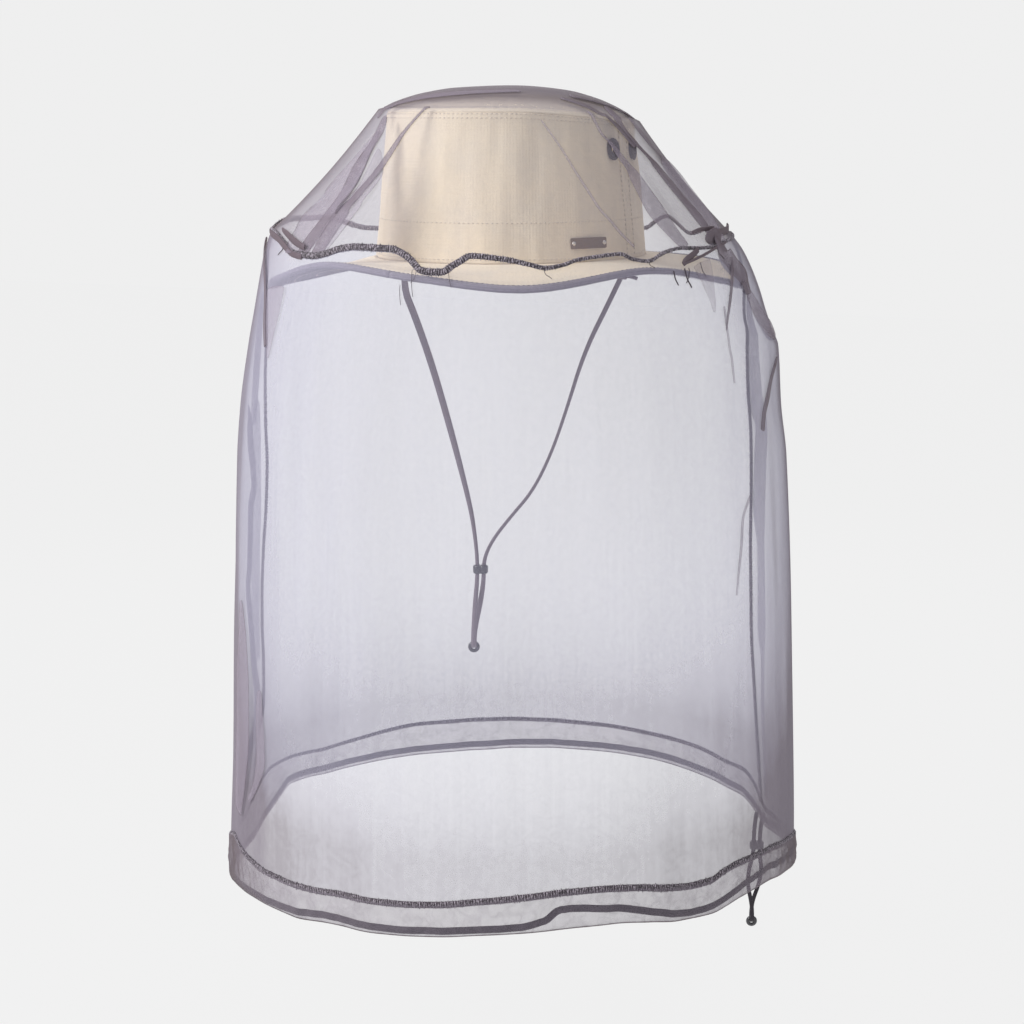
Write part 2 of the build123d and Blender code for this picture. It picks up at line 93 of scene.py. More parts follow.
# ---- Veil ----
# half sizes of the hanging net by height, and its outline at the left and the right
net_width = [(-430, 195), (-300, 192), (-140, 185), (-60, 176.5), (-15, 162), (8, 157), (30, 151)]
net_length = [(-430, 195), (-300, 192), (-140, 185), (-60, 178.5), (-15, 174), (8, 168), (30, 160)]
net_left = [
    (-430, 196), (-309, 192.4), (-133, 187), (-99, 184), (-59, 177.5), (-36, 173), (-10, 168),
    (4, 165), (17, 160), (30, 150),
]
net_right = [
    (-430, 196), (-309, 192.4), (-133, 185), (-99, 181), (-59, 178.6), (-50, 175), (-36, 170),
    (-23, 166), (-10, 161), (4, 154), (17, 144), (30, 134),
]
# the top seam's height round the veil
top_seam = [
    (-180, 8), (-160, 9), (-139, 11.4), (-129, 17.4), (-122, 21), (-113.6, 21.2), (-104, 22),
    (-96, 20), (-88, 16), (-80, 17), (-73.5, 16.7), (-62.7, 11.8), (-55.3, 6.3), (-48.5, 6),
    (-43.9, 7.9), (-39.4, 11.5), (-34.8, 13.1), (-26, 12.8), (-22.9, 10), (-20.8, 6),
    (-18.8, 0.9), (-16.9, -0.1), (-14.1, 0), (-12.3, 3.5), (-10.5, 6.6), (-8.7, 9.6),
    (-1.9, 7.8), (3.9, 4.3), (6.8, 2.4), (10.7, 4), (13.8, 6.8), (17.8, 8.3), (24.1, 9.6),
    (27, 6.3), (31.2, 4.7), (35.9, 9.1), (42, 11.3), (47.8, 10.5), (54.9, 10.2), (63.7, 12.1),
    (75, 13), (90, 14), (101.6, 13.6), (113.9, 14.3), (127.4, 8.9), (134.5, 20.4), (140, 15.5),
    (143.8, 10.7), (160, 8),
]
# ends of thread: (angle, height of the top, length, half its sway in degrees, thickness)
thread_ends = [
    (-20.5, 1, 16, 0.3, 0.35), (-19.6, 0, 7, -0.5, 0.3), (-12.9, 5, 14, 0.4, 0.35),
    (-22.8, -8, 12, 0.2, 0.35), (6.5, 2, 6, 0.8, 0.4), (38, -2, 9, 0.4, 0.8),
    (41.6, -1, 12, 0.6, 0.9), (43, -1, 9, -0.8, 0.6), (47.5, 2, 9, 0.5, 0.5),
    (31, 5, 5, 0.8, 0.4), (57, 10, 8, 0.9, 0.6), (-62, 12, 8, -1.2, 0.6),
]
# the side seams' angle by height
left_seam = [
    (-410, -104), (-384, -104.9), (-351, -106.9), (-329, -109.8), (-298, -109.6), (-270, -108.7),
    (-242, -108.4), (-213, -109), (-184, -110.3), (-154, -110.8), (-125, -109.9), (-92, -108.1),
    (-62, -105.4), (-22, -98), (16, -90),
]
right_seam = [
    (-410, 110.4), (-362, 111.5), (-321, 112.4), (-274, 113.5), (-220, 113.5), (-173, 113),
    (-104, 112.5), (-74, 112), (-51, 110.4), (-27, 105.3), (16, 96),
]
# the hem's lowest edge, the middle of its overlocked seam, and the drawcord's rise above it
hem_edge = [
    (-180, -402), (-173, -403), (-153, -403), (-134, -404), (-126.5, -402), (-121.7, -402),
    (-118, -407), (-115, -413), (-110, -421), (-104, -429), (-92, -430), (-82, -428.5),
    (-71, -422), (-65, -420), (-57, -418), (-46, -417), (-37, -413.5), (-29, -412.8),
    (-23, -411.5), (-13, -409), (-4, -406.5), (1, -405.6), (7, -404.3), (13, -403), (19, -402.7),
    (26, -404.7), (33, -408.6), (41, -410), (45, -408), (49, -406), (57, -405), (66, -408.5),
    (75, -413), (86.5, -420), (100, -421), (108, -423), (113, -416), (119, -408), (128, -406),
    (134, -404), (149, -401), (169, -401),
]
hem_seam = [
    (-180, -378), (-160, -378), (-132.8, -384), (-126.5, -382), (-121, -381), (-114.7, -382),
    (-108, -391), (-100, -405), (-92, -408), (-84, -400), (-73, -390), (-66, -393), (-59, -395),
    (-50, -395), (-41, -394), (-34, -392), (-25, -391), (-13, -388), (-6, -385), (3, -382),
    (9, -380), (16, -379), (24, -381), (30, -384.6), (36.5, -387.5), (40.5, -387.5), (44, -384),
    (48, -382), (54, -382.5), (61, -384), (69, -388.7), (76.7, -392), (84, -398), (92, -405),
    (100, -409), (108, -410), (114, -394), (118.5, -387), (125, -386.6), (134, -383),
    (160, -379),
]
tape_rise = [
    (-180, 3), (-110, 2.5), (-80, 1.2), (-55, 1.5), (-40, 3), (-20, 2), (0, 2), (6, 5), (9, 11),
    (14, 10), (20, 8), (28, 4.5), (36, 2.5), (44, 4), (52, 6), (60, 7.5), (75, 8), (90, 8),
    (110, 3), (180, 3),
]
overlock_pitch = 1.5  # between one thread loop and the next
hem_gap = 1.4  # from the middle of the hem to each of its layers
tape_width = 4.8


# ---- Shapes ----
class Line:
    """A smooth line through (place, value) pairs, flat beyond its ends or closed on itself."""

    def __init__(self, pairs, period=0):
        pairs = dict(pairs)
        if period:
            for place, value in list(pairs.items()):
                pairs.setdefault(place - period, value)
                pairs.setdefault(place + period, value)
        pairs = sorted(pairs.items())
        self.places = [place for place, _ in pairs]
        self.values = [value for _, value in pairs]
        steps = [
            (high[1] - low[1]) / (high[0] - low[0]) for low, high in zip(pairs, pairs[1:])
        ]
        self.slopes = [0.0] * len(pairs)
        for n in range(1, len(steps)):
            if steps[n - 1] * steps[n] > 0:
                self.slopes[n] = 2 * steps[n - 1] * steps[n] / (steps[n - 1] + steps[n])

    def __call__(self, place):
        if place <= self.places[0]:
            return self.values[0]
        if place >= self.places[-1]:
            return self.values[-1]
        n = bisect_right(self.places, place) - 1
        span = self.places[n + 1] - self.places[n]
        t = (place - self.places[n]) / span
        ease = t * t * (3 - 2 * t)
        bend = t * (1 - t) * span
        return (
            self.values[n] * (1 - ease) + self.values[n + 1] * ease
            + bend * ((1 - t) * self.slopes[n] - t * self.slopes[n + 1])
        )


def oval_radius(width, length, angle):
    """Radius in mm of an oval of these half sizes at a hat angle in degrees."""
    turn = radians(angle)
    return 1 / hypot(sin(turn) / width, cos(turn) / length)


def around(angle, radius, height):
    """Point in metres at a hat angle, which is 0 at the wearer's front."""
    turn = radians(angle)
    return Vector((radius * sin(turn), -radius * cos(turn), height)) * MM


def seen(angle, radius, height):
    """Point in metres at an angle seen from the viewing side."""
    return around(angle + VIEW_TURN, radius, height)


def ripple(*at):
    """Soft noise from -1 to 1."""
    return noise.noise(Vector(at))


def slump(angle):
    """How far in mm the crown's edge has sunk, most at the right as seen."""
    return crown_slump * max(0, sin(radians(angle - VIEW_TURN))) ** 1.5


brim_edge = Line(brim_wave, 360)
tip_height = Line(tip_dome)
width_at, length_at = Line(net_width), Line(net_length)
left_at, right_at = Line(net_left), Line(net_right)
seam_height = Line(top_seam, 360)
left_seam_angle, right_seam_angle = Line(left_seam), Line(right_seam)
hem_height, hem_seam_height = Line(hem_edge, 360), Line(hem_seam, 360)
tape_height = Line(tape_rise, 360)


def net_radius(angle, height):
    """Radius in mm of the hanging net, without its ripples."""
    oval = oval_radius(width_at(height), length_at(height), angle + VIEW_TURN)
    sideways = sin(radians(angle))
    left, right = max(0, -sideways) ** 4, max(0, sideways) ** 4
    return oval * (1 - left - right) + left_at(height) * left + right_at(height) * right


def net_point(angle, height, out=0.0):
    """Point on the hanging net, with the soft vertical waves of hung cloth."""
    turn = radians(angle)
    free = 1 - exp(min(0, (height - seam_height(angle)) / 60))
    wave = 3.0 * ripple(3.2 * cos(turn), 3.2 * sin(turn), height / 260)
    wave += 1.1 * ripple(9 * cos(turn), 9 * sin(turn), height / 120 + 7)
    return seen(angle, net_radius(angle, height) + wave * free + out, height)


net_over_dome = Line([
    (0, 111.4), (0.42, 109.9), (0.66, 106.6), (0.78, 103.8), (0.9, 100), (1, 96),
])
net_rim, net_rim_height = (82.6, 96.0), 96.0  # half sizes of the net round the crown's edge
crown_line = 0.6  # share of the top net between the seam and the crown's edge


def top_point(angle, share, out=0.0):
    """Point on the net from the top seam, share 0, over the crown to its middle, share 1."""
    height = seam_height(angle)
    sideways = sin(radians(angle))
    rim = oval_radius(*net_rim, angle + VIEW_TURN) + 2.5 * max(0, -sideways) ** 3
    sunk = slump(angle + VIEW_TURN)
    rim_height = net_rim_height - sunk
    if share < crown_line:
        part = share / crown_line
        loose = sin(pi * part)
        radius = net_radius(angle, height) * (1 - part) + rim * part - 1.5 * loose
        level = height * (1 - part) + rim_height * part - 1.8 * loose
        turn = radians(angle)
        out += 1.6 * loose * ripple(5 * cos(turn), 5 * sin(turn), share * 2)
        tilt = 0.7
    else:
        part = (1 - share) / (1 - crown_line)
        radius = rim * part
        level = net_over_dome(part) - sunk * part * part
        tilt = 1 - part * 0.3
    return seen(angle, radius + out * (1 - tilt), level + out * tilt)


def finish_mesh(name, bm, material):
    """Turns a bmesh into an object in the scene."""
    mesh = bpy.data.meshes.new(name)
    bm.to_mesh(mesh)
    bm.free()
    mesh.materials.append(material)
    mesh.shade_smooth()
    piece = bpy.data.objects.new(name, mesh)
    bpy.context.scene.collection.objects.link(piece)
    return piece


def thicken(piece, wall, offset):
    """Gives a sheet its wall in mm: offset 0 to both sides, -1 inward and 1 outward."""
    layer = piece.modifiers.new("wall", "SOLIDIFY")
    layer.thickness = wall * MM
    layer.offset = offset


def lay_grid(bm, across, along, place, cloth):
    """Adds a grid whose points are laid by place(u, v). Its UV map is its flat size in metres."""
    layer = bm.loops.layers.uv.get("Cloth") or bm.loops.layers.uv.new("Cloth")
    verts = bmesh.ops.create_grid(bm, x_segments=across, y_segments=along, size=0.5)["verts"]
    faces = {face for vert in verts for face in vert.link_faces}
    for face in faces:
        for loop in face.loops:
            spot = loop.vert.co
            loop[layer].uv = ((spot.x + 0.5) * cloth[0], (spot.y + 0.5) * cloth[1])
    for vert in verts:
        vert.co = place(vert.co.x + 0.5, vert.co.y + 0.5)
    return verts


def weld(bm, verts, closed_ends=True):
    """Joins the meeting edges of new grids and closes any open end."""
    bmesh.ops.remove_doubles(bm, verts=verts, dist=2e-6)
    if closed_ends:
        edges = [edge for edge in bm.edges if edge.is_boundary]
        bmesh.ops.holes_fill(bm, edges=edges, sides=0)


def frames_along(points, outward=None, closed=False):
    """(point, across, out) at each point of a line. outward(n) is the way out at point n;
    without it, the frame turns as little as it can."""
    count = len(points)
    frames = []
    out = None
    for n, point in enumerate(points):
        before = points[n - 1] if n or closed else point
        after = points[(n + 1) % count] if n + 1 < count or closed else point
        if closed and n == count - 1:
            after = points[1] if (points[0] - point).length < 1e-7 else after
        if closed and n == 0 and (points[-1] - point).length < 1e-7:
            before = points[-2]
        along = (after - before).normalized()
        guide = outward(n) if outward else out
        if guide is None:
            guide = along.orthogonal()
        out = (guide - along * guide.dot(along)).normalized()
        frames.append((point, along.cross(out).normalized(), out))
    return frames


def sweep(bm, frames, section, sides, length=1.0, closed=False):
    """Carries a closed section along frames. section(n, turn) is (across, out) in metres."""
    steps = len(frames) - 1

    def place(u, v):
        n = round(v * steps)
        point, across, out = frames[n]
        reach = section(n, 2 * pi * u)
        return point + across * reach[0] + out * reach[1]

    verts = lay_grid(bm, sides, steps, place, (0.01, length))
    weld(bm, verts, closed_ends=not closed)


def round_section(radius):
    return lambda n, turn: (radius * cos(turn), radius * sin(turn))


def flat_section(width, wall, power=0.6):
    """Section of a flat band; width and wall are numbers or functions of the frame's number."""

    def section(n, turn):
        half_width = (width(n) if callable(width) else width) / 2
        half_wall = (wall(n) if callable(wall) else wall) / 2
        lift = sin(turn)
        return half_width * cos(turn), half_wall * (abs(lift) ** power) * (1 if lift > 0 else -1)

    return section


def path_length(points):
    return sum((b - a).length for a, b in zip(points, points[1:]))


def spaced(points, step):
    """Points at even steps along a line of points."""
    total = path_length(points)
    count = max(2, round(total / step))
    result = [points[0].copy()]
    walked, n = 0.0, 0
    for k in range(1, count):
        target = total * k / count
        while walked + (points[n + 1] - points[n]).length < target:
            walked += (points[n + 1] - points[n]).length
            n += 1
        gap = (points[n + 1] - points[n]).length
        result.append(points[n].lerp(points[n + 1], (target - walked) / gap))
    result.append(points[-1].copy())
    return result


# ---- Finishes ----
class Shade:
    """One output of a material's node. Sums on it add Math nodes."""

    def __init__(self, finish, socket):
        self.finish = finish
        self.socket = socket

    def sum(self, operation, *values):
        return self.finish.node(
            "ShaderNodeMath", {"operation": operation}, dict(enumerate(values))
        )

    def __add__(self, other):
        return self.sum("ADD", self, other)

    __radd__ = __add__

    def __sub__(self, other):
        return self.sum("SUBTRACT", self, other)

    def __rsub__(self, other):
        return self.sum("SUBTRACT", other, self)

    def __mul__(self, other):
        return self.sum("MULTIPLY", self, other)

    __rmul__ = __mul__

    def __rtruediv__(self, other):
        return self.sum("DIVIDE", other, self)

    def __pow__(self, other):
        return self.sum("POWER", self, other)

    def clamped(self, low=0.0, high=1.0):
        return self.sum("MINIMUM", self.sum("MAXIMUM", self, low), high)

    def sine(self):
        return self.finish.node("ShaderNodeMath", {"operation": "SINE"}, {0: self})

    def absolute(self):
        return self.finish.node("ShaderNodeMath", {"operation": "ABSOLUTE"}, {0: self})


class Finish:
    """A material whose nodes are written as sums."""

    def __init__(self, name):
        self.material = bpy.data.materials.new(name)
        self.material.use_nodes = True
        self.tree = self.material.node_tree
        self.tree.nodes.clear()
        self.output = self.tree.nodes.new("ShaderNodeOutputMaterial")

    def node(self, kind, settings=None, inputs=None, output=0):
        node = self.tree.nodes.new(kind)
        for name, value in (settings or {}).items():
            if name == "stops":
                for element, (place, colour) in zip(self.ramp_elements(node, len(value)), value):
                    element.position = place
                    element.color = colour
            else:
                setattr(node, name, value)
        for key, value in (inputs or {}).items():
            if isinstance(value, Shade):
                self.tree.links.new(value.socket, node.inputs[key])
            else:
                node.inputs[key].default_value = value
        return Shade(self, node.outputs[output])

    @staticmethod
    def ramp_elements(node, count):
        elements = node.color_ramp.elements
        while len(elements) < count:
            elements.new(0.5)
        return elements

    def cloth_place(self):
        """The piece's own flat cloth coordinates, in metres."""
        return self.node("ShaderNodeUVMap", {"uv_map": "Cloth"})

    def object_place(self):
        return self.node("ShaderNodeTexCoord", output="Object")

    def parts(self, vector):
        split = self.node("ShaderNodeSeparateXYZ", None, {0: vector})
        outputs = split.socket.node.outputs
        return [Shade(self, outputs[axis]) for axis in ("X", "Y", "Z")]

    def stretched(self, vector, scale):
        return self.node(
            "ShaderNodeVectorMath", {"operation": "MULTIPLY"}, {0: vector, 1: scale}
        )

    def noise(self, vector, scale=1.0, detail=2.0, roughness=0.5):
        return self.node(
            "ShaderNodeTexNoise", None,
            {"Vector": vector, "Scale": scale, "Detail": detail, "Roughness": roughness},
        )

    def mix(self, factor, low, high):
        """Colour between two colours."""
        return self.node(
            "ShaderNodeMix", {"data_type": "RGBA"}, {0: factor, 6: low, 7: high}, output=2
        )

    def bump(self, height, distance, strength=1.0):
        return self.node(
            "ShaderNodeBump", None, {"Height": height, "Distance": distance, "Strength": strength}
        )

    def surface(self, **inputs):
        """The Principled shader, with names' underscores read as spaces."""
        named = {name.replace("_", " "): value for name, value in inputs.items()}
        return self.node("ShaderNodeBsdfPrincipled", None, named)

    def done(self, shader):
        self.tree.links.new(shader.socket, self.output.inputs["Surface"])
        return self.material


def colour(value):
    return (value[0], value[1], value[2], 1.0)


def scaled(value, share):
    return tuple(part * share for part in value[:3])


def settings():
    return bpy.context.scene.veil_settings


def canvas_finish():
    """Cream cotton with raised slubs down the cloth, a fine square weave and painted shade along
    soft vertical creases.
    """
    finish = Finish("canvas")
    base = settings().hat.canvas_colour
    cloth = finish.cloth_place()
    slub = finish.noise(finish.stretched(cloth, (560, 34, 1)), 1.0, 3.0, 0.65)
    weft = finish.noise(finish.stretched(cloth, (70, 1100, 1)), 1.0, 2.0, 0.5)
    across, along, _ = finish.parts(cloth)
    check = (across * (2 * pi / 0.0021)).sine() * 0.5 + (along * (2 * pi / 0.0021)).sine() * 0.5
    cloud = finish.noise(cloth, 26.0, 3.0, 0.55)
    tone = (slub * 1.15 + weft * 0.2 + check * 0.012 + cloud * 0.4 - 0.45).clamped()
    paint = finish.mix(tone, colour(scaled(base, 0.72)), colour(scaled(base, 1.12)))
    # painted shade: soft vertical creases, darker and browner along long streaks down the cloth
    painted_crease_shade = finish.noise(finish.stretched(cloth, (34, 9, 1)), 1.0, 3.0, 0.6)
    paint = finish.mix(
        ((painted_crease_shade - 0.48) * 3.0).clamped() * 0.28, paint,
        colour((base[0] * 0.78, base[1] * 0.73, base[2] * 0.69)),
    )
    worn = finish.mix(
        ((cloud - 0.45) * 2.5).clamped(), colour((base[0], base[1] * 0.965, base[2] * 0.90)), paint
    )
    relief = slub * 0.6 + weft * 0.3 + check * 0.1
    return finish.done(finish.surface(
        Base_Color=worn, Roughness=0.92, Normal=finish.bump(relief, 0.0005, 0.6),
        Sheen_Weight=0.15, Specular_IOR_Level=0.2,
    ))


def tape_finish(name, base, rib=0.0009):
    """Woven tape with ribs across it."""
    finish = Finish(name)
    cloth = finish.cloth_place()
    _, along, _ = finish.parts(cloth)
    ribs = (along * (2 * pi / rib)).sine() * 0.5 + 0.5
    fleck = finish.noise(finish.stretched(cloth, (400, 900, 1)), 1.0, 2.0, 0.6)
    tone = (ribs * 0.35 + fleck * 0.9 - 0.1).clamped()
    paint = finish.mix(tone, colour(scaled(base, 0.72)), colour(scaled(base, 1.25)))
    return finish.done(finish.surface(
        Base_Color=paint, Roughness=0.85, Sheen_Weight=0.2, Specular_IOR_Level=0.3,
        Normal=finish.bump(ribs * 0.5 + fleck * 0.5, 0.0003, 0.7),
    ))


def braid_finish():
    """Flat braid: strands crossing in chevrons, with a groove down its middle, painted darker in
    the groove and along both edges as painted shade.
    """
    finish = Finish("cord_braid")
    base = settings().hat.cord_colour
    across, along, _ = finish.parts(finish.cloth_place())
    fold = (across * (4 * pi / 0.01)).sine()
    chevron = (along * (2 * pi / 0.0016) + fold * 2.4).sine() * 0.5 + 0.5
    groove = (fold * fold).clamped()
    fleck = finish.noise(finish.object_place(), 900.0, 2.0, 0.6)
    # painted shade: tone is lowest where groove is 0, in the middle groove and at both edges
    tone = (chevron * 0.45 + groove * 0.35 + fleck * 0.35 - 0.1).clamped()
    paint = finish.mix(tone, colour(scaled(base, 0.7)), colour(scaled(base, 1.28)))
    return finish.done(finish.surface(
        Base_Color=paint, Roughness=0.75, Normal=finish.bump(chevron * groove, 0.0004, 0.8),
        Sheen_Weight=0.2,
    ))


def thread_finish(name, base, depth=0.15):
    """Spun thread with lighter and darker flecks; at a large depth they are painted glints and
    painted shade.
    """
    finish = Finish(name)
    fleck = ((finish.noise(finish.object_place(), 700.0, 3.0, 0.8) - 0.5) * 5 + 0.45).clamped()
    paint = finish.mix(fleck, colour(scaled(base, 1 - depth)), colour(scaled(base, 1 + depth)))
    return finish.done(finish.surface(
        Base_Color=paint, Roughness=0.7, Normal=finish.bump(fleck, 0.0002, 0.5),
    ))


def net_finish(name, yarn, cover=None, lean=0.0, deepen=0.0, creased=0.0, bunch=0.0):
    """See-through net. The more it turns away from the eye, the more yarn is in the way.
    Its cover grows by lean for each metre to the right as seen, by deepen at the hem and by
    bunch over the crown. Without a cover, this is a fold's own value. Its yarn is painted
    darker where the net hides more, and more so by deepen at the hem and by bunch over the
    crown: painted shade."""
    finish = Finish(name)
    place = finish.object_place()
    facing = finish.node("ShaderNodeLayerWeight", None, {"Blend": 0.5}, output="Facing")
    toward = (1 - facing).clamped(0.10, 1.0)
    streak = finish.noise(finish.stretched(place, (260, 260, 9)), 1.0, 2.0, 0.6)
    swirl = finish.noise(place, 45.0, 2.0, 0.6)
    rings = (swirl * 40).sine() * 0.5 + 0.5
    grain = finish.noise(place, 1100.0, 1.0, 0.5)
    if cover is None:
        cover = finish.node("ShaderNodeAttribute", {"attribute_name": "Cover"}, output="Fac")
        amount = cover * (0.30 + 0.5 * streak + 0.1 * rings + 0.8 * grain)
        darker = 0.0
    else:
        x, y, height = finish.parts(place)
        side = x * cos(radians(VIEW_TURN)) + y * sin(radians(VIEW_TURN))
        depth = (height * -2.5).clamped(0, 0.9) ** 6
        over_crown = ((height - 0.094) * 80).clamped()
        spread = side * lean + depth * deepen + over_crown * bunch
        # painted shade: the yarn darkens towards the hem and over the crown
        darker = depth * (deepen * 1.2) + over_crown * bunch
        crinkle = (1 - (finish.noise(place, 70.0, 2.0, 0.6) - 0.5).absolute() * 16).clamped()
        amount = (spread + cover) * (
            0.74 + 0.24 * streak + 0.06 * rings + 0.16 * grain + crinkle * creased
        )
    veil = 1 - (1 - amount.clamped(0.02, 0.95)) ** (1 / toward)
    # painted shade: a shaded copy of the yarn, which it turns to as the net hides more
    deep = (yarn[0] * 0.40, yarn[1] * 0.355, yarn[2] * 0.335)
    paint = finish.mix((veil * 1.6 - 0.45 + darker).clamped(), colour(yarn), colour(deep))
    cloth = finish.surface(Base_Color=paint, Roughness=0.7, Specular_IOR_Level=0.2)
    clear = finish.node("ShaderNodeBsdfTransparent")
    return finish.done(
        finish.node("ShaderNodeMixShader", None, {0: veil, 1: clear, 2: cloth})
    )


def metal_finish(name, base, rough, grain=(40, 2500, 2500)):
    """Brushed metal with darker hollows."""
    finish = Finish(name)
    place = finish.object_place()
    lines = finish.noise(finish.stretched(place, grain), 1.0, 3.0, 0.6)
    patina = finish.noise(place, 420.0, 3.0, 0.6)
    paint = finish.mix((lines * 0.5 + patina * 0.6 - 0.05).clamped(),
                       colour(scaled(base, 0.55)), colour(scaled(base, 1.3)))
    return finish.done(finish.surface(
        Base_Color=paint, Metallic=0.9, Roughness=patina * 0.25 + rough,
        Normal=finish.bump(lines, 0.0001, 0.3),
    ))


def plastic_finish():
    """Smooth grey moulded plastic."""
    finish = Finish("grey_plastic")
    base = settings().hat.plastic_colour
    cloud = finish.noise(finish.object_place(), 300.0, 2.0, 0.5)
    paint = finish.mix(cloud, colour(scaled(base, 0.85)), colour(scaled(base, 1.15)))
    return finish.done(finish.surface(
        Base_Color=paint, Roughness=cloud * 0.12 + 0.22, Coat_Weight=0.4, Coat_Roughness=0.1,
        Normal=finish.bump(cloud, 0.0001, 0.2),
    ))


def floor_finish():
    """A pale, mostly self-lit floor, so that it shows only a trace of shadow."""
    finish = Finish("floor")
    stage = settings().stage
    tone = stage.backdrop_tone
    cloud = finish.noise(finish.object_place(), 0.6, 1.0, 0.4)
    shade = finish.mix(cloud, (0.78, 0.78, 0.78, 1), (0.82, 0.82, 0.82, 1))
    matt = finish.surface(Base_Color=shade, Roughness=1.0, Specular_IOR_Level=0.0)
    glow = finish.node(
        "ShaderNodeEmission", None, {"Color": (tone, tone, tone, 1), "Strength": 1.02}
    )
    return finish.done(finish.node("ShaderNodeMixShader", None, {0: 0.96, 1: matt, 2: glow}))


finishes = {}


def finish_named(name, make):
    """One material for all pieces of a finish."""
    if name not in finishes:
        finishes[name] = make()
    return finishes[name]


def canvas():
    return finish_named("canvas", canvas_finish)


def binding_tape():
    return finish_named(
        "binding_tape", lambda: tape_finish("binding_tape", settings().hat.binding_colour)
    )


def hat_thread():
    return finish_named("hat_thread", lambda: thread_finish("hat_thread", (0.74, 0.66, 0.55)))


def underside_cloth():
    return finish_named(
        "underside_cloth",
        lambda: tape_finish("underside_cloth", settings().hat.underside_colour, 0.0021),
    )


def cord_braid():
    return finish_named("cord_braid", braid_finish)


def dark_braid():
    return finish_named(
        "dark_braid", lambda: tape_finish("dark_braid", settings().veil.drawcord_colour, 0.0016)
    )


def overlock_thread():
    return finish_named(
        "overlock_thread",
        # the strong flecks of this thread (0.8) are painted glints and painted shade
        lambda: thread_finish("overlock_thread", settings().veil.thread_colour, 0.8),
    )


def overlock_base():
    return finish_named(
        "overlock_base",
        lambda: tape_finish("overlock_base", settings().veil.overlock_colour, 0.00175),
    )


def plastic():
    return finish_named("grey_plastic", plastic_finish)


def net():
    veil = settings().veil
    return finish_named(
        "veil_net",
        lambda: net_finish(
            # deepen makes the net denser at the hem and paints shade on its yarn there
            "veil_net", veil.net_colour, veil.net_cover, lean=0.03, deepen=0.54, creased=0.05
        ),
    )


def folded_net():
    veil = settings().veil
    return finish_named(
        "folded_net", lambda: net_finish("folded_net", veil.fold_colour)
    )


# ---- Sizes and colours ----
class HatSettings(bpy.types.PropertyGroup):
    canvas_colour: FloatVectorProperty(
        name="Canvas", description="Colour of the hat's cotton", subtype="COLOR", size=3,
        default=(0.85, 0.765, 0.63), min=0, max=1,
    )
    binding_colour: FloatVectorProperty(
        name="Binding", description="Colour of the tape round the brim", subtype="COLOR", size=3,
        default=(0.23, 0.205, 0.245), min=0, max=1,
    )
    underside_colour: FloatVectorProperty(
        name="Underside", description="Colour of the cloth under the brim", subtype="COLOR",
        size=3, default=(0.12, 0.095, 0.125), min=0, max=1,
    )
    cord_colour: FloatVectorProperty(
        name="Cord", description="Colour of the chin cord and the drawcord", subtype="COLOR",
        size=3, default=(0.21, 0.17, 0.20), min=0, max=1,
    )
    plastic_colour: FloatVectorProperty(
        name="Slider", description="Colour of the sliders and rings", subtype="COLOR", size=3,
        default=(0.045, 0.043, 0.05), min=0, max=1,
    )
    crumple: FloatProperty(
        name="Crumple", description="How far the cloth of the crown stands in and out",
        subtype="DISTANCE", unit="LENGTH", default=0.0017, min=0, max=0.003,
    )
    stitch_length: FloatProperty(
        name="Stitch length", description="From one stitch of the hat to the next",
        subtype="DISTANCE", unit="LENGTH", default=0.0031, min=0.002, max=0.006,
    )
    cord_width: FloatProperty(
        name="Cord width", description="Width of the flat chin cord", subtype="DISTANCE",
        unit="LENGTH", default=0.0038, min=0.002, max=0.006,
    )


class VeilSettings(bpy.types.PropertyGroup):
    net_colour: FloatVectorProperty(
        name="Net", description="Colour of the net's yarn", subtype="COLOR", size=3,
        default=(0.55, 0.54, 0.69), min=0, max=1,
    )
    # darker and more mauve than the net's yarn: painted shade of the folded layers
    fold_colour: FloatVectorProperty(
        name="Folds", description="Colour of the yarn where the net is folded", subtype="COLOR",
        size=3, default=(0.36, 0.315, 0.385), min=0, max=1,
    )
    thread_colour: FloatVectorProperty(
        name="Thread", description="Colour of the overlock thread", subtype="COLOR", size=3,
        default=(0.27, 0.24, 0.275), min=0, max=1,
    )
    overlock_colour: FloatVectorProperty(
        name="Seam net", description="Colour of the net folded into a seam", subtype="COLOR",
        size=3, default=(0.075, 0.06, 0.075), min=0, max=1,
    )
    drawcord_colour: FloatVectorProperty(
        name="Drawcord", description="Colour of the drawcord", subtype="COLOR", size=3,
        default=(0.035, 0.03, 0.038), min=0, max=1,
    )
    # darker than the hanging net's yarn: painted shade on the net over the crown
    top_colour: FloatVectorProperty(
        name="Top net", description="Colour of the yarn over the crown", subtype="COLOR", size=3,
        default=(0.43, 0.405, 0.49), min=0, max=1,
    )
    hem_colour: FloatVectorProperty(
        name="Hem net", description="Colour of the hem's yarn", subtype="COLOR", size=3,
        default=(0.33, 0.29, 0.35), min=0, max=1,
    )
    net_cover: FloatProperty(
        name="Net cover", description="Share of the view that one layer of net hides",
        subtype="FACTOR", default=0.19, min=0.02, max=0.9,
    )
    top_cover: FloatProperty(
        name="Top cover", description="Share of the view that the bunched top net hides",
        subtype="FACTOR", default=0.19, min=0.02, max=0.9,
    )
    hem_cover: FloatProperty(
        name="Hem cover", description="Share of the view that one layer of the hem hides",
        subtype="FACTOR", default=0.27, min=0.02, max=0.9,
    )


class StageSettings(bpy.types.PropertyGroup):
    backdrop_tone: FloatProperty(
        name="Backdrop", description="Brightness of the floor and the backdrop", subtype="FACTOR",
        default=0.862, min=0, max=1,
    )
    floor_height: FloatProperty(
        name="Floor height", description="Height of the floor below the hat",
        subtype="DISTANCE", unit="LENGTH", default=-0.60, max=-0.51,
    )


class SceneSettings(bpy.types.PropertyGroup):
    hat: PointerProperty(type=HatSettings)
    veil: PointerProperty(type=VeilSettings)
    stage: PointerProperty(type=StageSettings)


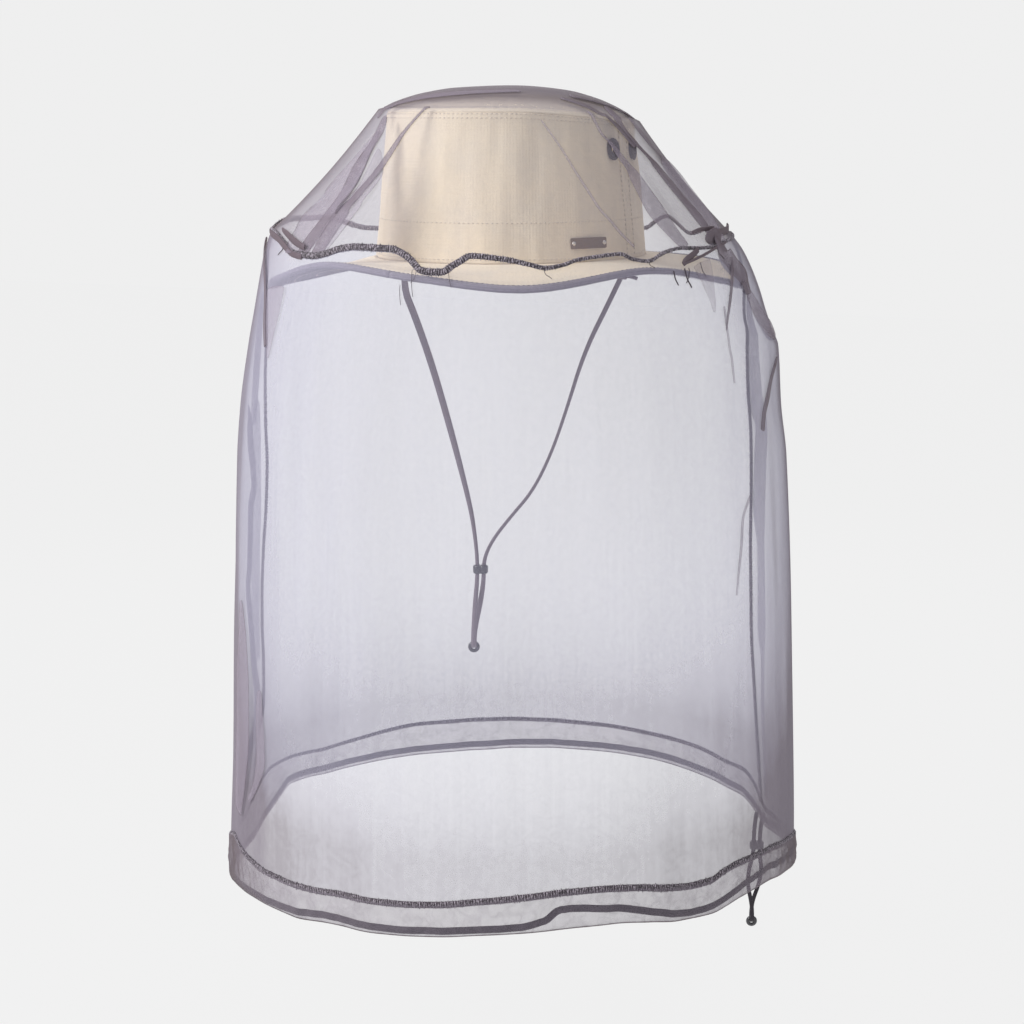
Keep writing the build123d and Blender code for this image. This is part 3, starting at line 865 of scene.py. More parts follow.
# ---- Stage ----
class VEIL_OT_stage(bpy.types.Operator):
    """Camera, floor, backdrop and soft lights"""

    bl_idname = "veil.stage"
    bl_label = "Stage"

    def execute(self, context):
        scene = context.scene
        stage = scene.veil_settings.stage
        scene.view_settings.view_transform = "Standard"
        scene.cycles.transparent_max_bounces = 64

        turn, tilt, away, height = radians(VIEW_TURN), radians(10.407), 1.47, 0.094
        camera = bpy.data.objects.new("camera", bpy.data.cameras.new("camera"))
        camera.data.lens = 76.57
        camera.data.sensor_width = 36
        camera.location = (sin(turn) * away, -cos(turn) * away, height)
        look = Vector((-sin(turn) * cos(tilt), cos(turn) * cos(tilt), -sin(tilt)))
        camera.rotation_euler = look.to_track_quat("-Z", "Y").to_euler()
        scene.collection.objects.link(camera)
        scene.camera = camera

        world = bpy.data.worlds.new("backdrop")
        scene.world = world
        world.use_nodes = True
        nodes, links = world.node_tree.nodes, world.node_tree.links
        nodes.clear()
        rays = nodes.new("ShaderNodeLightPath")
        tone = stage.backdrop_tone
        shown = nodes.new("ShaderNodeBackground")
        shown.inputs["Color"].default_value = (tone, tone, tone, 1)
        lit = nodes.new("ShaderNodeBackground")
        lit.inputs["Color"].default_value = (0.44, 0.44, 0.45, 1)
        mixed = nodes.new("ShaderNodeMixShader")
        links.new(rays.outputs["Is Camera Ray"], mixed.inputs[0])
        links.new(lit.outputs[0], mixed.inputs[1])
        links.new(shown.outputs[0], mixed.inputs[2])
        output = nodes.new("ShaderNodeOutputWorld")
        links.new(mixed.outputs[0], output.inputs["Surface"])

        bm = bmesh.new()
        bmesh.ops.create_grid(
            bm, x_segments=8, y_segments=8, size=6,
            matrix=Matrix.Translation((0, 0, stage.floor_height)),
        )
        floor = finish_mesh("floor", bm, floor_finish())

        # (name, angle seen from the viewing side, distance, height and size in metres, watts)
        for name, angle, distance, lift, size, power in (
            ("key", -62, 1.9, 1.0, 1.1, 40), ("fill", 62, 2.0, 0.5, 1.4, 1),
            ("top", 10, 0.5, 1.9, 1.4, 10), ("back", 180, 2.0, 0.6, 1.4, 8),
        ):
            light = bpy.data.lights.new(name, "AREA")
            light.shape = "DISK"
            light.size = size
            light.energy = power
            lamp = bpy.data.objects.new(name, light)
            lamp.location = seen(angle, distance / MM, lift / MM)
            aim = Vector((0, 0, -0.1)) - lamp.location
            lamp.rotation_euler = aim.to_track_quat("-Z", "Y").to_euler()
            scene.collection.objects.link(lamp)
        return {"FINISHED"}


# ---- Cords ----
def cord_line(name, route):
    """Points of a smooth curve that has the route as its control points."""
    curve = bpy.data.curves.new(name, "CURVE")
    curve.dimensions = "3D"
    spline = curve.splines.new("NURBS")
    spline.points.add(len(route) - 1)
    for point, spot in zip(spline.points, route):
        point.co = (spot[0] * MM, spot[1] * MM, spot[2] * MM, 1)
    spline.order_u = 3
    spline.use_endpoint_u = True
    spline.resolution_u = 16
    carrier = bpy.data.objects.new(name, curve)
    bpy.context.scene.collection.objects.link(carrier)
    bpy.context.view_layer.update()
    mesh = bpy.data.meshes.new_from_object(carrier)
    points = [vert.co.copy() for vert in mesh.vertices]
    bpy.data.objects.remove(carrier)
    bpy.data.meshes.remove(mesh)
    bpy.data.curves.remove(curve)
    return points


def flat_cord(name, route, width, wall, facing, material):
    """Flat braid along a route. facing(share) is the way its flat side looks."""
    points = spaced(cord_line(name, route), 0.0016)
    count = len(points) - 1
    frames = frames_along(points, lambda n: facing(n / count))
    bm = bmesh.new()
    section = flat_section(lambda n: width(n / count), wall, 0.45)
    sweep(bm, frames, section, 12, path_length(points))
    piece = finish_mesh(name, bm, material)
    return piece, points


def view_away():
    turn = radians(VIEW_TURN)
    return Vector((-sin(turn), cos(turn), 0))


def view_side():
    turn = radians(VIEW_TURN)
    return Vector((cos(turn), sin(turn), 0))


class VEIL_OT_chin_cord(bpy.types.Operator):
    """Chin cord, its tabs, knots, slider and end ring"""

    bl_idname = "veil.chin_cord"
    bl_label = "Chin cord"

    def execute(self, context):
        width = context.scene.veil_settings.hat.cord_width
        toward, side = -view_away(), view_side()
        twist = Line([(0, 10), (0.3, 25), (0.4, 10), (0.5, 0), (0.62, 35), (0.8, 55), (1, 20)])
        breadth = Line([
            (0, 1.1), (0.05, 1.3), (0.2, 1.25), (0.3, 0.95), (0.37, 0.7), (0.42, 0.85),
            (0.47, 1.0), (0.53, 1.0), (0.58, 0.85), (0.63, 0.7), (0.8, 0.85), (1, 0.95),
        ])

        def facing(share):
            turn = radians(twist(share))
            return toward * cos(turn) + side * sin(turn)

        piece, points = flat_cord(
            "chin_cord_braid", chin_cord_route, lambda share: width * breadth(share), 0.0013,
            facing, cord_braid(),
        )
        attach(piece, "hat")
        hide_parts("chin_cord")

        slider = slider_bead("chin_slider_bead", Vector((-19.5, -9.5, -216.0)) * MM)
        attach(slider, "chin_slider")
        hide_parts("chin_cord_slider")
        ring = end_ring(
            "chin_end_ring", (Vector(chin_cord_route[13]) + Vector(chin_cord_route[14])) / 2
        )
        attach(ring, "hat")
        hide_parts("chin_cord_ring")

        knots = bmesh.new()
        tabs = bmesh.new()
        for sign in (-1, 1):
            anchor = Vector((sign * 81.0, 0, -11.5)) * MM
            loop = []
            for n in range(33):
                turn = 4 * pi * n / 32
                loop.append(anchor + Vector((
                    sign * (2.0 * cos(turn) + 0.5 * sin(turn / 2)),
                    2.6 * sin(turn) * (0.75 + 0.25 * cos(turn / 2)), 1.5 * cos(turn * 0.75),
                )) * MM)
            sweep(knots, frames_along(loop), round_section(0.00125), 8, path_length(loop))
            for tail, reach in ((1, 9.0), (-1, 6.0)):
                start = anchor + Vector((0, tail * 1.5, -0.5)) * MM
                end = start + (side * tail * reach + Vector((0, 0, -1.8 * tail))) * MM
                middle = start.lerp(end, 0.5) + Vector((0, 0, 0.8)) * MM
                line = [
                    start * (1 - t) ** 2 + middle * 2 * t * (1 - t) + end * t * t
                    for t in [k / 8 for k in range(9)]
                ]
                sweep(
                    knots, frames_along(line, lambda n: toward), flat_section(0.0024, 0.0011), 8,
                    path_length(line),
                )

            def tab(u, v, sign=sign):
                drop = -10.5 * v
                bulge = 0.6 * sin(pi * v)
                return Vector((sign * (84.9 - bulge), (u - 0.5) * 8, 0.5 + drop)) * MM

            lay_grid(tabs, 8, 12, tab, (0.008, 0.0105))
        knot = finish_mesh("chin_knots", knots, cord_braid())
        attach(knot, "hat")
        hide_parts("chin_cord_knots")
        tab = finish_mesh("chin_tabs", tabs, binding_tape())
        thicken(tab, 0.9, 0)
        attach(tab, "hat")
        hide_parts("chin_cord_tabs")
        tuple(points[0])
        path_length(points)
        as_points(points)
        return {"FINISHED"}


def slider_bead(name, middle):
    """A rounded bead with two holes for the cord's strands."""
    bm = bmesh.new()
    side = view_side()
    profile = [
        (1.45, -2.6), (1.8, -3.05), (2.5, -2.95), (3.05, -2.3), (3.2, -1.2), (3.2, 1.2),
        (3.05, 2.3), (2.5, 2.95), (1.8, 3.05), (1.45, 2.6),
    ]
    for sign in (-1, 1):
        hole = middle + side * (sign * 2.0 * MM)
        verts = [bm.verts.new(hole + Vector((r, 0, h)) * MM) for r, h in profile]
        edges = [bm.edges.new(pair) for pair in zip(verts, verts[1:] + verts[:1])]
        bmesh.ops.spin(
            bm, geom=verts + edges, cent=hole, axis=(0, 0, 1), angle=2 * pi, steps=28,
            use_merge=True,
        )
    bmesh.ops.recalc_face_normals(bm, faces=bm.faces)
    bead = finish_mesh(name, bm, plastic())
    return bead


def end_ring(name, middle):
    """The moulded ring on the end of a cord loop."""
    bm = bmesh.new()
    away = view_away()
    middle = middle * MM
    side = view_side()
    up = Vector((0, 0, 1))
    steps, radius = 36, 2.75
    turns = [2 * pi * n / steps for n in range(steps + 1)]
    spine = [middle + (side * cos(turn) + up * sin(turn)) * radius * MM for turn in turns]
    frames = frames_along(spine, lambda n: away, closed=True)
    sweep(bm, frames, round_section(0.00135), 14, path_length(spine), closed=True)
    bmesh.ops.recalc_face_normals(bm, faces=bm.faces)
    ring = finish_mesh(name, bm, plastic())
    return ring


class VEIL_OT_drawcord(bpy.types.Operator):
    """Loop of drawcord below the hem, with its slider and end ring"""

    bl_idname = "veil.drawcord"
    bl_label = "Drawcord loop"

    def execute(self, context):
        width = 0.0030
        toward = -view_away()
        piece, points = flat_cord(
            "drawcord_braid", drawcord_route, lambda share: width, 0.0012, lambda share: toward,
            dark_braid(),
        )
        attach(piece, "veil")
        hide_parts("drawcord_loop")
        slider = slider_bead("hem_slider_bead", Vector((132.2, 141.65, -439.0)) * MM)
        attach(slider, "hem_slider")
        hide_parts("drawcord_slider")
        ring = end_ring(
            "drawcord_end_ring", (Vector(drawcord_route[8]) + Vector(drawcord_route[9])) / 2
        )
        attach(ring, "veil")
        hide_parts("drawcord_ring")
        tuple(points[0])
        path_length(points)
        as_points(points)
        return {"FINISHED"}


# ---- Hat ----
def crown_point(angle, height, out=0.0):
    """Point on the crown's cloth, with its soft creases."""
    share = min(1, max(0, height / crown_height))
    shrink = 1 - (1 - crown_taper) * share
    turn = radians(angle)
    radius = oval_radius(crown_width * shrink, crown_length * shrink, angle)
    crumple = settings().hat.crumple / MM
    crease = ripple(4.2 * cos(turn), 4.2 * sin(turn), height / 90)
    crease += 0.5 * ripple(11 * cos(turn), 11 * sin(turn), height / 40 + 5)
    ends = min(1, (crown_height + 4 - height) / 16)
    level = height - slump(angle) * (height / crown_height) ** 5
    return around(angle, radius + (crease * crumple - 0.6 * crumple) * ends + out, level)


def vent_level(angle):
    """Height in mm of the vent at this angle, on the sunk crown."""
    return vent_height - slump(angle) * (vent_height / crown_height) ** 5


def near_vent(angle, height, reach):
    """Whether a point of the crown is in one of its vents."""
    for seam in side_seams:
        for spread in (-vent_spread, vent_spread):
            gap = radians(angle - seam - spread) * oval_radius(crown_width, crown_length, angle)
            if hypot(gap * 0.93, height - vent_level(seam + spread)) < reach:
                return True
    return False


def stitch(bm, start, end, out, radius=0.00034):
    """One stitch: a grain of thread that lies on the cloth."""
    along = end - start
    across = along.cross(out).normalized()
    out = across.cross(along).normalized()
    frame_matrix = Matrix((
        (*along * 0.5, 0), (*across * radius, 0), (*out * radius, 0), (0, 0, 0, 1),
    )).to_3x3().transposed().to_4x4()
    bmesh.ops.create_icosphere(
        bm, subdivisions=1, radius=1,
        matrix=Matrix.Translation((start + end) / 2) @ frame_matrix,
    )


def stitch_row(bm, points, outward, share=0.68, radius=0.00034):
    """Stitches in a row along a line of points."""
    spots = spaced(points, settings().hat.stitch_length)
    for start, end in zip(spots, spots[1:]):
        stitch(bm, start, start.lerp(end, share), outward(start), radius)


def outward_from_axis(spot):
    return Vector((spot.x, spot.y, 0)).normalized()


class VEIL_OT_crown(bpy.types.Operator):
    """Crown panels, tip and sweatband, with their seams and stitches"""

    bl_idname = "veil.crown"
    bl_label = "Crown"

    def execute(self, context):
        for name, node, first in (
            ("crown_front_cloth", "crown_front_panel", -90),
            ("crown_back_cloth", "crown_back_panel", 90),
        ):
            bm = bmesh.new()

            def place(u, v, first=first):
                angle = first + 180 * u
                height = (crown_height + 3.5) * v
                edge = min(abs(u), abs(1 - u)) * 300  # mm from the panel's side edge
                ridge = 0.45 if first < 0 and edge < 6 else 0.0
                pull = 0.0
                if height > crown_height - 1:
                    pull = -(height - crown_height + 1) ** 1.6 * 0.5
                return crown_point(angle, height, ridge + pull)

            lay_grid(bm, 190, 62, place, (0.300, 0.0975))
            hidden = []
            for face in bm.faces:
                spot = face.calc_center_median()
                if near_vent(degrees(atan2(spot.x, -spot.y)) % 360, spot.z / MM, vent_reach):
                    hidden.append(face)
            bmesh.ops.delete(bm, geom=hidden, context="FACES")
            panel = finish_mesh(name, bm, canvas())
            thicken(panel, 0.9, -1)
            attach(panel, "hat")
            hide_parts(node)

        bm = bmesh.new()

        def tip(u, v):
            angle = 360 * u
            share = 1.0 - v
            radius = share * oval_radius(
                crown_width * crown_taper, crown_length * crown_taper, angle
            )
            turn = radians(angle)
            crease = 0.8 * ripple(3 * share * cos(turn), 3 * share * sin(turn), 2.5)
            crease += 0.5 * ripple(8 * share * cos(turn), 8 * share * sin(turn), 9)
            lift = tip_height(share) + crease * min(1, (1 - share) * 8) - 0.5
            lift -= slump(angle) * share * share
            if share > 0.965:
                lift += 0.9
                radius -= 0.4
            return around(angle, radius, lift)

        verts = lay_grid(bm, 160, 40, tip, (0.55, 0.09))
        weld(bm, verts, closed_ends=False)
        piece = finish_mesh("crown_tip_cloth", bm, canvas())
        thicken(piece, 0.9, -1)
        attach(piece, "hat")
        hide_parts("crown_tip")

        bm = bmesh.new()

        def band(u, v):
            angle = 360 * u
            height = 0.4 + 26.2 * v
            shrink = 1 - (1 - crown_taper) * height / crown_height
            turn = radians(angle)
            inset = 2.6 + 0.5 * ripple(6 * cos(turn), 6 * sin(turn), v * 2)
            radius = oval_radius(crown_width * shrink, crown_length * shrink, angle) - inset
            return around(angle, radius, height)

        verts = lay_grid(bm, 180, 12, band, (0.59, 0.027))
        weld(bm, verts, closed_ends=False)
        piece = finish_mesh("sweatband_cloth", bm, canvas())
        thicken(piece, 0.9, 0)
        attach(piece, "hat")
        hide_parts("sweatband")

        bm = bmesh.new()
        ring = [360 * n / 240 for n in range(241)]
        for height, out in ((93.0, 0.1), (90.4, 0.1), (25.4, 0.1), (2.6, 0.15)):
            points = [crown_point(angle, height, out) for angle in ring]
            stitch_row(bm, points, outward_from_axis)
        for seam in side_seams:
            for spread in (-3.4, 3.4):
                points = [crown_point(seam + spread, h, 0.5) for h in range(2, 93, 3)]
                stitch_row(bm, points, outward_from_axis, 0.8, 0.00042)
        piece = finish_mesh("crown_stitches", bm, hat_thread())
        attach(piece, "hat")
        return {"FINISHED"}


def brim_point(angle, share, drop=0.0, grow=0.0):
    """Point on the brim from the crown, share 0, to its wavy edge, share 1."""
    inner = oval_radius(crown_width - 1, crown_length - 1, angle)
    outer = oval_radius(crown_width + brim_width, crown_length + brim_width, angle)
    turn = radians(angle)
    crease = 0.25 * ripple(7 * cos(turn), 7 * sin(turn), share * 3) * min(1, 3 * share)
    outer += brim_stretch * max(0, cos(turn - radians(brim_stretch_angle))) ** 8
    radius = inner + (outer - inner) * share + grow
    height = brim_edge(angle) * share - drop + crease * (1 - share)
    return around(angle, radius, height - 0.1)


class VEIL_OT_brim(bpy.types.Operator):
    """Brim cloths, interlining, bound edge and stitched rows"""

    bl_idname = "veil.brim"
    bl_label = "Brim"

    def execute(self, context):
        lining = finish_named(
            "interlining", lambda: thread_finish("interlining", (0.80, 0.78, 0.73)))
        # (name, the node it stands for, depth of its middle, finish, slot)
        for name, node, drop, cloth, slot in (
            ("brim_top_cloth", "brim_top", 0.25, canvas(), "canvas"),
            ("brim_lining", "brim_interlining", 1.3, lining, "interlining"),
            ("brim_under_cloth", "brim_underside", 2.35, underside_cloth(), "underbrim_cloth"),
        ):
            bm = bmesh.new()
            verts = lay_grid(
                bm, 240, 30, lambda u, v: brim_point(360 * u, v, drop), (0.82, 0.065)
            )
            weld(bm, verts, closed_ends=False)
            piece = finish_mesh(name, bm, cloth)
            thicken(piece, 0.8, 0)
            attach(piece, "hat")
            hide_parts(node)

        bm = bmesh.new()
        inset = 5.0 / brim_width

        def bound(u, v):
            """The tape: in on top, round the edge and in below."""
            angle = 360 * u
            turn = pi * v
            across = cos(turn)
            if v < 0.4:
                share, drop, grow = 1 - inset * (1 - v / 0.4), -0.55, 0.0
            elif v > 0.6:
                share, drop, grow = 1 - inset * (1 - (1 - v) / 0.4), brim_wall + 0.55, 0.0
            else:
                swing = pi * (v - 0.4) / 0.2
                share, grow = 1.0, 1.1 * sin(swing)
                drop = brim_wall / 2 - (brim_wall / 2 + 0.55) * cos(swing)
            pucker = 0.12 * ripple(angle / 1.4, across, 4)
            return brim_point(angle, share, drop - pucker, grow)

        verts = lay_grid(bm, 420, 20, bound, (1.0, 0.0145))
        weld(bm, verts, closed_ends=False)
        piece = finish_mesh("brim_bound_edge", bm, binding_tape())
        thicken(piece, 0.5, 1)
        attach(piece, "hat")
        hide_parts("brim_binding")

        bm = bmesh.new()
        ring = [360 * n / 240 for n in range(241)]
        for share in (0.16, 0.36, 0.56, 0.76):
            for drop in (-0.05, brim_wall + 0.05):
                points = [brim_point(angle, share, drop) for angle in ring]
                stitch_row(bm, points, lambda spot: Vector((0, 0, 1)), 0.66, 0.00028)
        piece = finish_mesh("brim_stitches", bm, hat_thread())
        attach(piece, "hat")

        bm = bmesh.new()
        for drop in (-0.85, brim_wall + 0.85):
            points = [brim_point(angle, 1 - inset + 0.024, drop) for angle in ring]
            stitch_row(bm, points, lambda spot: Vector((0, 0, 1)), 0.66, 0.0002)
        piece = finish_mesh("binding_stitches", bm, overlock_thread())
        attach(piece, "hat")
        return {"FINISHED"}


class VEIL_OT_fittings(bpy.types.Operator):
    """Badge plate, rivets and vent eyelets"""

    bl_idname = "veil.fittings"
    bl_label = "Badge and vents"

    def execute(self, context):
        shrink = 1 - (1 - crown_taper) * badge_height / crown_height
        turn = radians(badge_angle)
        radius = oval_radius(crown_width * shrink, crown_length * shrink, badge_angle)
        middle = around(badge_angle, radius, badge_height)
        out = Vector((sin(turn) / crown_width, -cos(turn) / crown_length, 0)).normalized()
        out = (out + Vector((0, 0, 0.09))).normalized()
        side = Vector((0, 0, 1)).cross(out).normalized()
        up = out.cross(side)
        bm = bmesh.new()
        bend = 0.098  # metres: the crown's curve under the plate

        def plate_point(x, y, lift):
            return middle + side * x + up * y + out * (lift - x * x / (2 * bend))

        bmesh.ops.create_grid(bm, x_segments=36, y_segments=10, size=0.5)
        length, height, corner = 0.029, 0.007, 0.0010
        for vert in bm.verts:
            x, y = vert.co.x * length, vert.co.y * height
            over_x, over_y = abs(x) - (length / 2 - corner), abs(y) - (height / 2 - corner)
            if over_x > 0 and over_y > 0:
                gap = hypot(over_x, over_y)
                if gap > corner:
                    x -= (1 if x > 0 else -1) * over_x * (1 - corner / gap)
                    y -= (1 if y > 0 else -1) * over_y * (1 - corner / gap)
            vert.co = plate_point(x, y, 0.0009)
        plate = finish_mesh("badge", bm, finish_named(
            "antique_bronze", lambda: metal_finish("antique_bronze", (0.22, 0.145, 0.075), 0.42)))
        thicken(plate, 0.8, -1)
        soften = plate.modifiers.new("soft edge", "BEVEL")
        soften.width = 0.0002
        soften.segments = 2
        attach(plate, "hat")
        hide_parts("badge_plate")

        bm = bmesh.new()
        for sign in (-1, 1):
            spot = plate_point(sign * 0.0123, 0, 0.0009)
            profile = [(0, 0.95), (0.6, 0.88), (1.1, 0.62), (1.42, 0.22), (1.5, -0.05)]
            verts = [bm.verts.new(spot + side * (r * MM) + out * (h * MM)) for r, h in profile]
            edges = [bm.edges.new(pair) for pair in zip(verts, verts[1:])]
            bmesh.ops.spin(
                bm, geom=verts + edges, cent=spot, axis=out, angle=2 * pi, steps=24, use_merge=True
            )
        bmesh.ops.remove_doubles(bm, verts=bm.verts, dist=1e-6)
        bmesh.ops.recalc_face_normals(bm, faces=bm.faces)
        rivets = finish_mesh("badge_studs", bm, finish_named(
            "bright_rivet", lambda: metal_finish("bright_rivet", (0.75, 0.70, 0.64), 0.18)))
        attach(rivets, "hat")
        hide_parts("badge_rivets")

        outer, inner = bmesh.new(), bmesh.new()
        for seam in side_seams:
            for spread in (-vent_spread, vent_spread):
                angle = seam + spread
                shrink = 1 - (1 - crown_taper) * vent_height / crown_height
                turn = radians(angle)
                spot = around(
                    angle, oval_radius(crown_width * shrink, crown_length * shrink, angle),
                    vent_level(angle),
                )
                face = Vector((sin(turn) / crown_width, -cos(turn) / crown_length, 0)).normalized()
                face = (face + Vector((0, 0, 0.09))).normalized()
                level = Vector((0, 0, 1)).cross(face).normalized()
                flange = [
                    (2.9, -2.2), (2.9, 0.6), (3.3, 1.15), (4.7, 1.32), (5.9, 1.15), (6.9, 0.7),
                    (7.2, 0.25), (7.0, 0.12), (4.2, 0.3), (4.2, -2.2),
                ]
                washer = [
                    (4.25, -1.05), (6.3, -1.05), (6.5, -1.3), (6.2, -1.7), (4.6, -1.95),
                    (4.25, -1.8),
                ]
                for bm, profile in ((outer, flange), (inner, washer)):
                    verts = [
                        bm.verts.new(spot + level * (r * MM) + face * (h * MM)) for r, h in profile
                    ]
                    edges = [bm.edges.new(pair) for pair in zip(verts, verts[1:] + verts[:1])]
                    bmesh.ops.spin(
                        bm, geom=verts + edges, cent=spot, axis=face, angle=2 * pi, steps=32,
                        use_merge=True,
                    )
        for bm, name, node in (
            (outer, "vent_flanges", "vent_eyelets"), (inner, "vent_washers", "eyelet_washers"),
        ):
            bmesh.ops.recalc_face_normals(bm, faces=bm.faces)
            piece = finish_mesh(name, bm, finish_named(
                "eyelet_brass", lambda: metal_finish("eyelet_brass", (0.05, 0.033, 0.02), 0.42)))
            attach(piece, "hat")
            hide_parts(node)
        return {"FINISHED"}


# ---- Veil ----
# folds of the top net: (share of the view that a layer hides,
# [(angle, share from the seam to the middle, width), ...])
top_folds = [
    (0.15, [(-54.3, 0.512, 4.7), (-55.6, 0.396, 21.6), (-56.3, 0.263, 37.7), (-57.2, 0.17, 40.3),
     (-56.6, 0.094, 31.5), (-55.4, 0.029, 26), (-55, 0, 22)]),
    (0.35, [(-56.1, 0.567, 4.6), (-53.3, 0.489, 8.4), (-53.9, 0.406, 11.8), (-52, 0.273, 12.9),
     (-52.5, 0.167, 14.3), (-52.8, 0.08, 14.2), (-52.4, 0, 11)]),
    (0.35, [(-33.4, 0.61, 4.4), (-35.5, 0.578, 2.5), (-39.9, 0.481, 4.6), (-42.4, 0.364, 7.6),
     (-45.7, 0.253, 10.9), (-47.8, 0.179, 15.1), (-47.5, 0.098, 13), (-46.7, 0, 10)]),
    (0.13, [(-48.4, 0.44, 3), (-43.6, 0.317, 16), (-45.9, 0.215, 24.6), (-46.8, 0.118, 22),
     (-47, 0, 16)]),
    (0.21, [(-63.1, 0.557, 7.2), (-60.4, 0.617, 9.6), (-52.7, 0.651, 12), (-38.3, 0.691, 12),
     (-17.7, 0.721, 9.6), (4.8, 0.735, 7.2)]),
    (0.17, [(67.9, 0.607, 7.2), (68.7, 0.563, 10.8), (70.4, 0.486, 19.8), (72.9, 0.399, 21.6),
     (70.9, 0.29, 21.6), (68.3, 0.181, 21.6), (65.6, 0.091, 16), (62.7, 0, 8)]),
    (0.35, [(57.8, 0.66, 6.7), (52.9, 0.573, 6.5), (55.8, 0.486, 8.9), (60.1, 0.391, 11.8),
     (61.2, 0.272, 12.9), (61.5, 0.177, 12.6), (60.4, 0.088, 10), (59.3, 0, 8)]),
    (0.25, [(35.8, 0.618, 2.9), (36.3, 0.523, 2.1), (39, 0.471, 3.9), (40.6, 0.405, 6.9),
     (42.1, 0.334, 10.6), (42.1, 0.244, 14.5), (41.9, 0.147, 17), (43.5, 0, 12)]),
    (0.28, [(37.8, 0.713, 7.2), (52.8, 0.695, 12), (68.1, 0.66, 14.4), (76.3, 0.617, 14.4)]),
    (0.35, [(26.5, 0.685, 4.8), (37.8, 0.642, 7), (45.9, 0.593, 5.7), (50.8, 0.532, 8),
     (53.6, 0.467, 8.2)]),
    (0.2, [(10.9, 0.557, 1.1), (16.2, 0.45, 1.2), (21.6, 0.259, 1.6), (23.1, 0.185, 1.7),
     (25.8, 0.117, 2.3), (28.9, 0.051, 2.1)]),
]
# folds of the hanging net: (share of the view that a layer hides, [(angle, height, width), ...])
body_folds = [
    (0.39, [(-84, 12, 5), (-74, -4, 6), (-69, -20, 5), (-66, -36, 4.5), (-62.5, -53, 4)]),
    (0.22, [(-98.5, -27.3, 4.8), (-101.2, -54.4, 14), (-103.2, -78, 15), (-104.4, -95.4, 13),
     (-104.9, -122.6, 10)]),
    (0.38, [(-99.4, -106.1, 6.9), (-101.9, -121.2, 12), (-103.2, -136, 12), (-104.9, -151.6, 10),
     (-105.5, -166.6, 9.6), (-103.6, -179.8, 10.9), (-103.3, -196.9, 10.2), (-102.9, -223.3, 9.6),
     (-102.3, -237.6, 9.5), (-103.9, -266.4, 8.9), (-105.7, -297.5, 9.3), (-107.8, -323.8, 10.8),
     (-107, -344.2, 12), (-102.9, -359.1, 12), (-100.5, -368.7, 14.4), (-98.4, -397.1, 14.4)]),
    (0.18, [(-105.8, -105.1, 11.7), (-107.2, -134.4, 13), (-107.3, -177.6, 13.2),
     (-106.2, -220.5, 15.7), (-106.5, -264.7, 14.3), (-107.7, -295.5, 10.5)]),
    (0.11, [(-61.9, -14.9, 31.5), (-61.4, -27.5, 25.4), (-61.1, -37.5, 19.4), (-60.5, -51.9, 8.4),
     (-60.4, -60.1, 3.3)]),
    (0.14, [(-68.5, -222, 7.2), (-67.3, -248.2, 20.9), (-67.4, -275.4, 31.7),
     (-67.3, -309.5, 32.2), (-68.2, -337.8, 27.8), (-69.8, -367.2, 19.2)]),
    (0.14, [(-58, -274.6, 5.7), (-57.9, -287.9, 9.6), (-57.2, -306.7, 12.2), (-57, -320.6, 12.4),
     (-59.3, -337, 7.8), (-63.4, -353.8, 4.3)]),
    (0.39, [(60.4, 15.1, 12.8), (59.7, 6.4, 16.7), (63, -4.1, 14.3), (66.9, -13.1, 14.8),
     (66.9, -21.3, 10.4)]),
    (0.2, [(104.2, -26.5, 5.7), (108.3, -49.3, 14.2), (109.8, -78.8, 19.4), (109.8, -103.1, 23.6),
     (107.8, -123.7, 21), (109.4, -154.8, 20.3), (110.4, -186.5, 19), (109.8, -217.7, 11.5),
     (109.9, -271, 12.8), (109.5, -300.6, 4.8), (109.8, -334.7, 4.7), (109.5, -367.2, 4.7),
     (109, -402.6, 4.6)]),
    (0.21, [(66, -13, 3), (69, -30, 13), (74, -45, 14), (80, -52, 4)]),
    (0.32, [(75.4, -64.3, 4.6), (69.9, -76.2, 5.6), (67, -86.4, 7.9), (64, -96, 6.9),
     (62.3, -107.1, 6.7)]),
    (0.35, [(63.5, 2.7, 4.4), (56.7, -19.9, 3.4), (53, -32.1, 2), (51, -40.3, 0.9)]),
    (0.1, [(47.9, 2.1, 17.8), (48.7, -9.2, 13), (48.9, -21.4, 6.4), (48.5, -28.7, 2.1)]),
    (0.21, [(52.6, -25.9, 1.7), (51.3, -40.9, 1.6), (50.4, -56.7, 1.6), (50.6, -73, 1.1)]),
    (0.21, [(53.7, -144.8, 1.7), (50.9, -158.9, 2.1), (50.2, -174.5, 2.1), (49, -193, 1.6),
     (48.2, -206.2, 1)]),
    (0.64, [(-68.4, 20, 2.6), (-62.7, 17.5, 4.6), (-57.3, 14, 5.2), (-51.7, 10.9, 3.8)]),
    (0.64, [(-81.7, 16.7, 4.2), (-68.6, 14.2, 4.8), (-61.7, 10.1, 4.9), (-56.3, 6, 3.9),
     (-51.9, 4.9, 3.7)]),
    (0.68, [(48.2, 9.8, 3.9), (45.1, 6.6, 4.5), (42.2, 3.4, 4.6), (41.3, 1.6, 3.5)]),
    (0.72, [(41.3, 1.6, 1.9), (48.5, 5.5, 1.9), (56.2, 9.4, 1.9), (64.5, 12, 1.9)]),
    (0.72, [(58.4, 15.3, 5.2), (65.3, 18.2, 5.2), (89.6, 18.5, 5.4)]),
    (0.48, [(53.4, 15.9, 3.9), (56.3, 16.1, 10.2), (59.4, 15.8, 12.2), (62.5, 14.8, 5.3)]),
    (0.64, [(47.8, 19.7, 2.5), (53.5, 21.4, 2.6), (61.7, 21.2, 3.1)]),
]


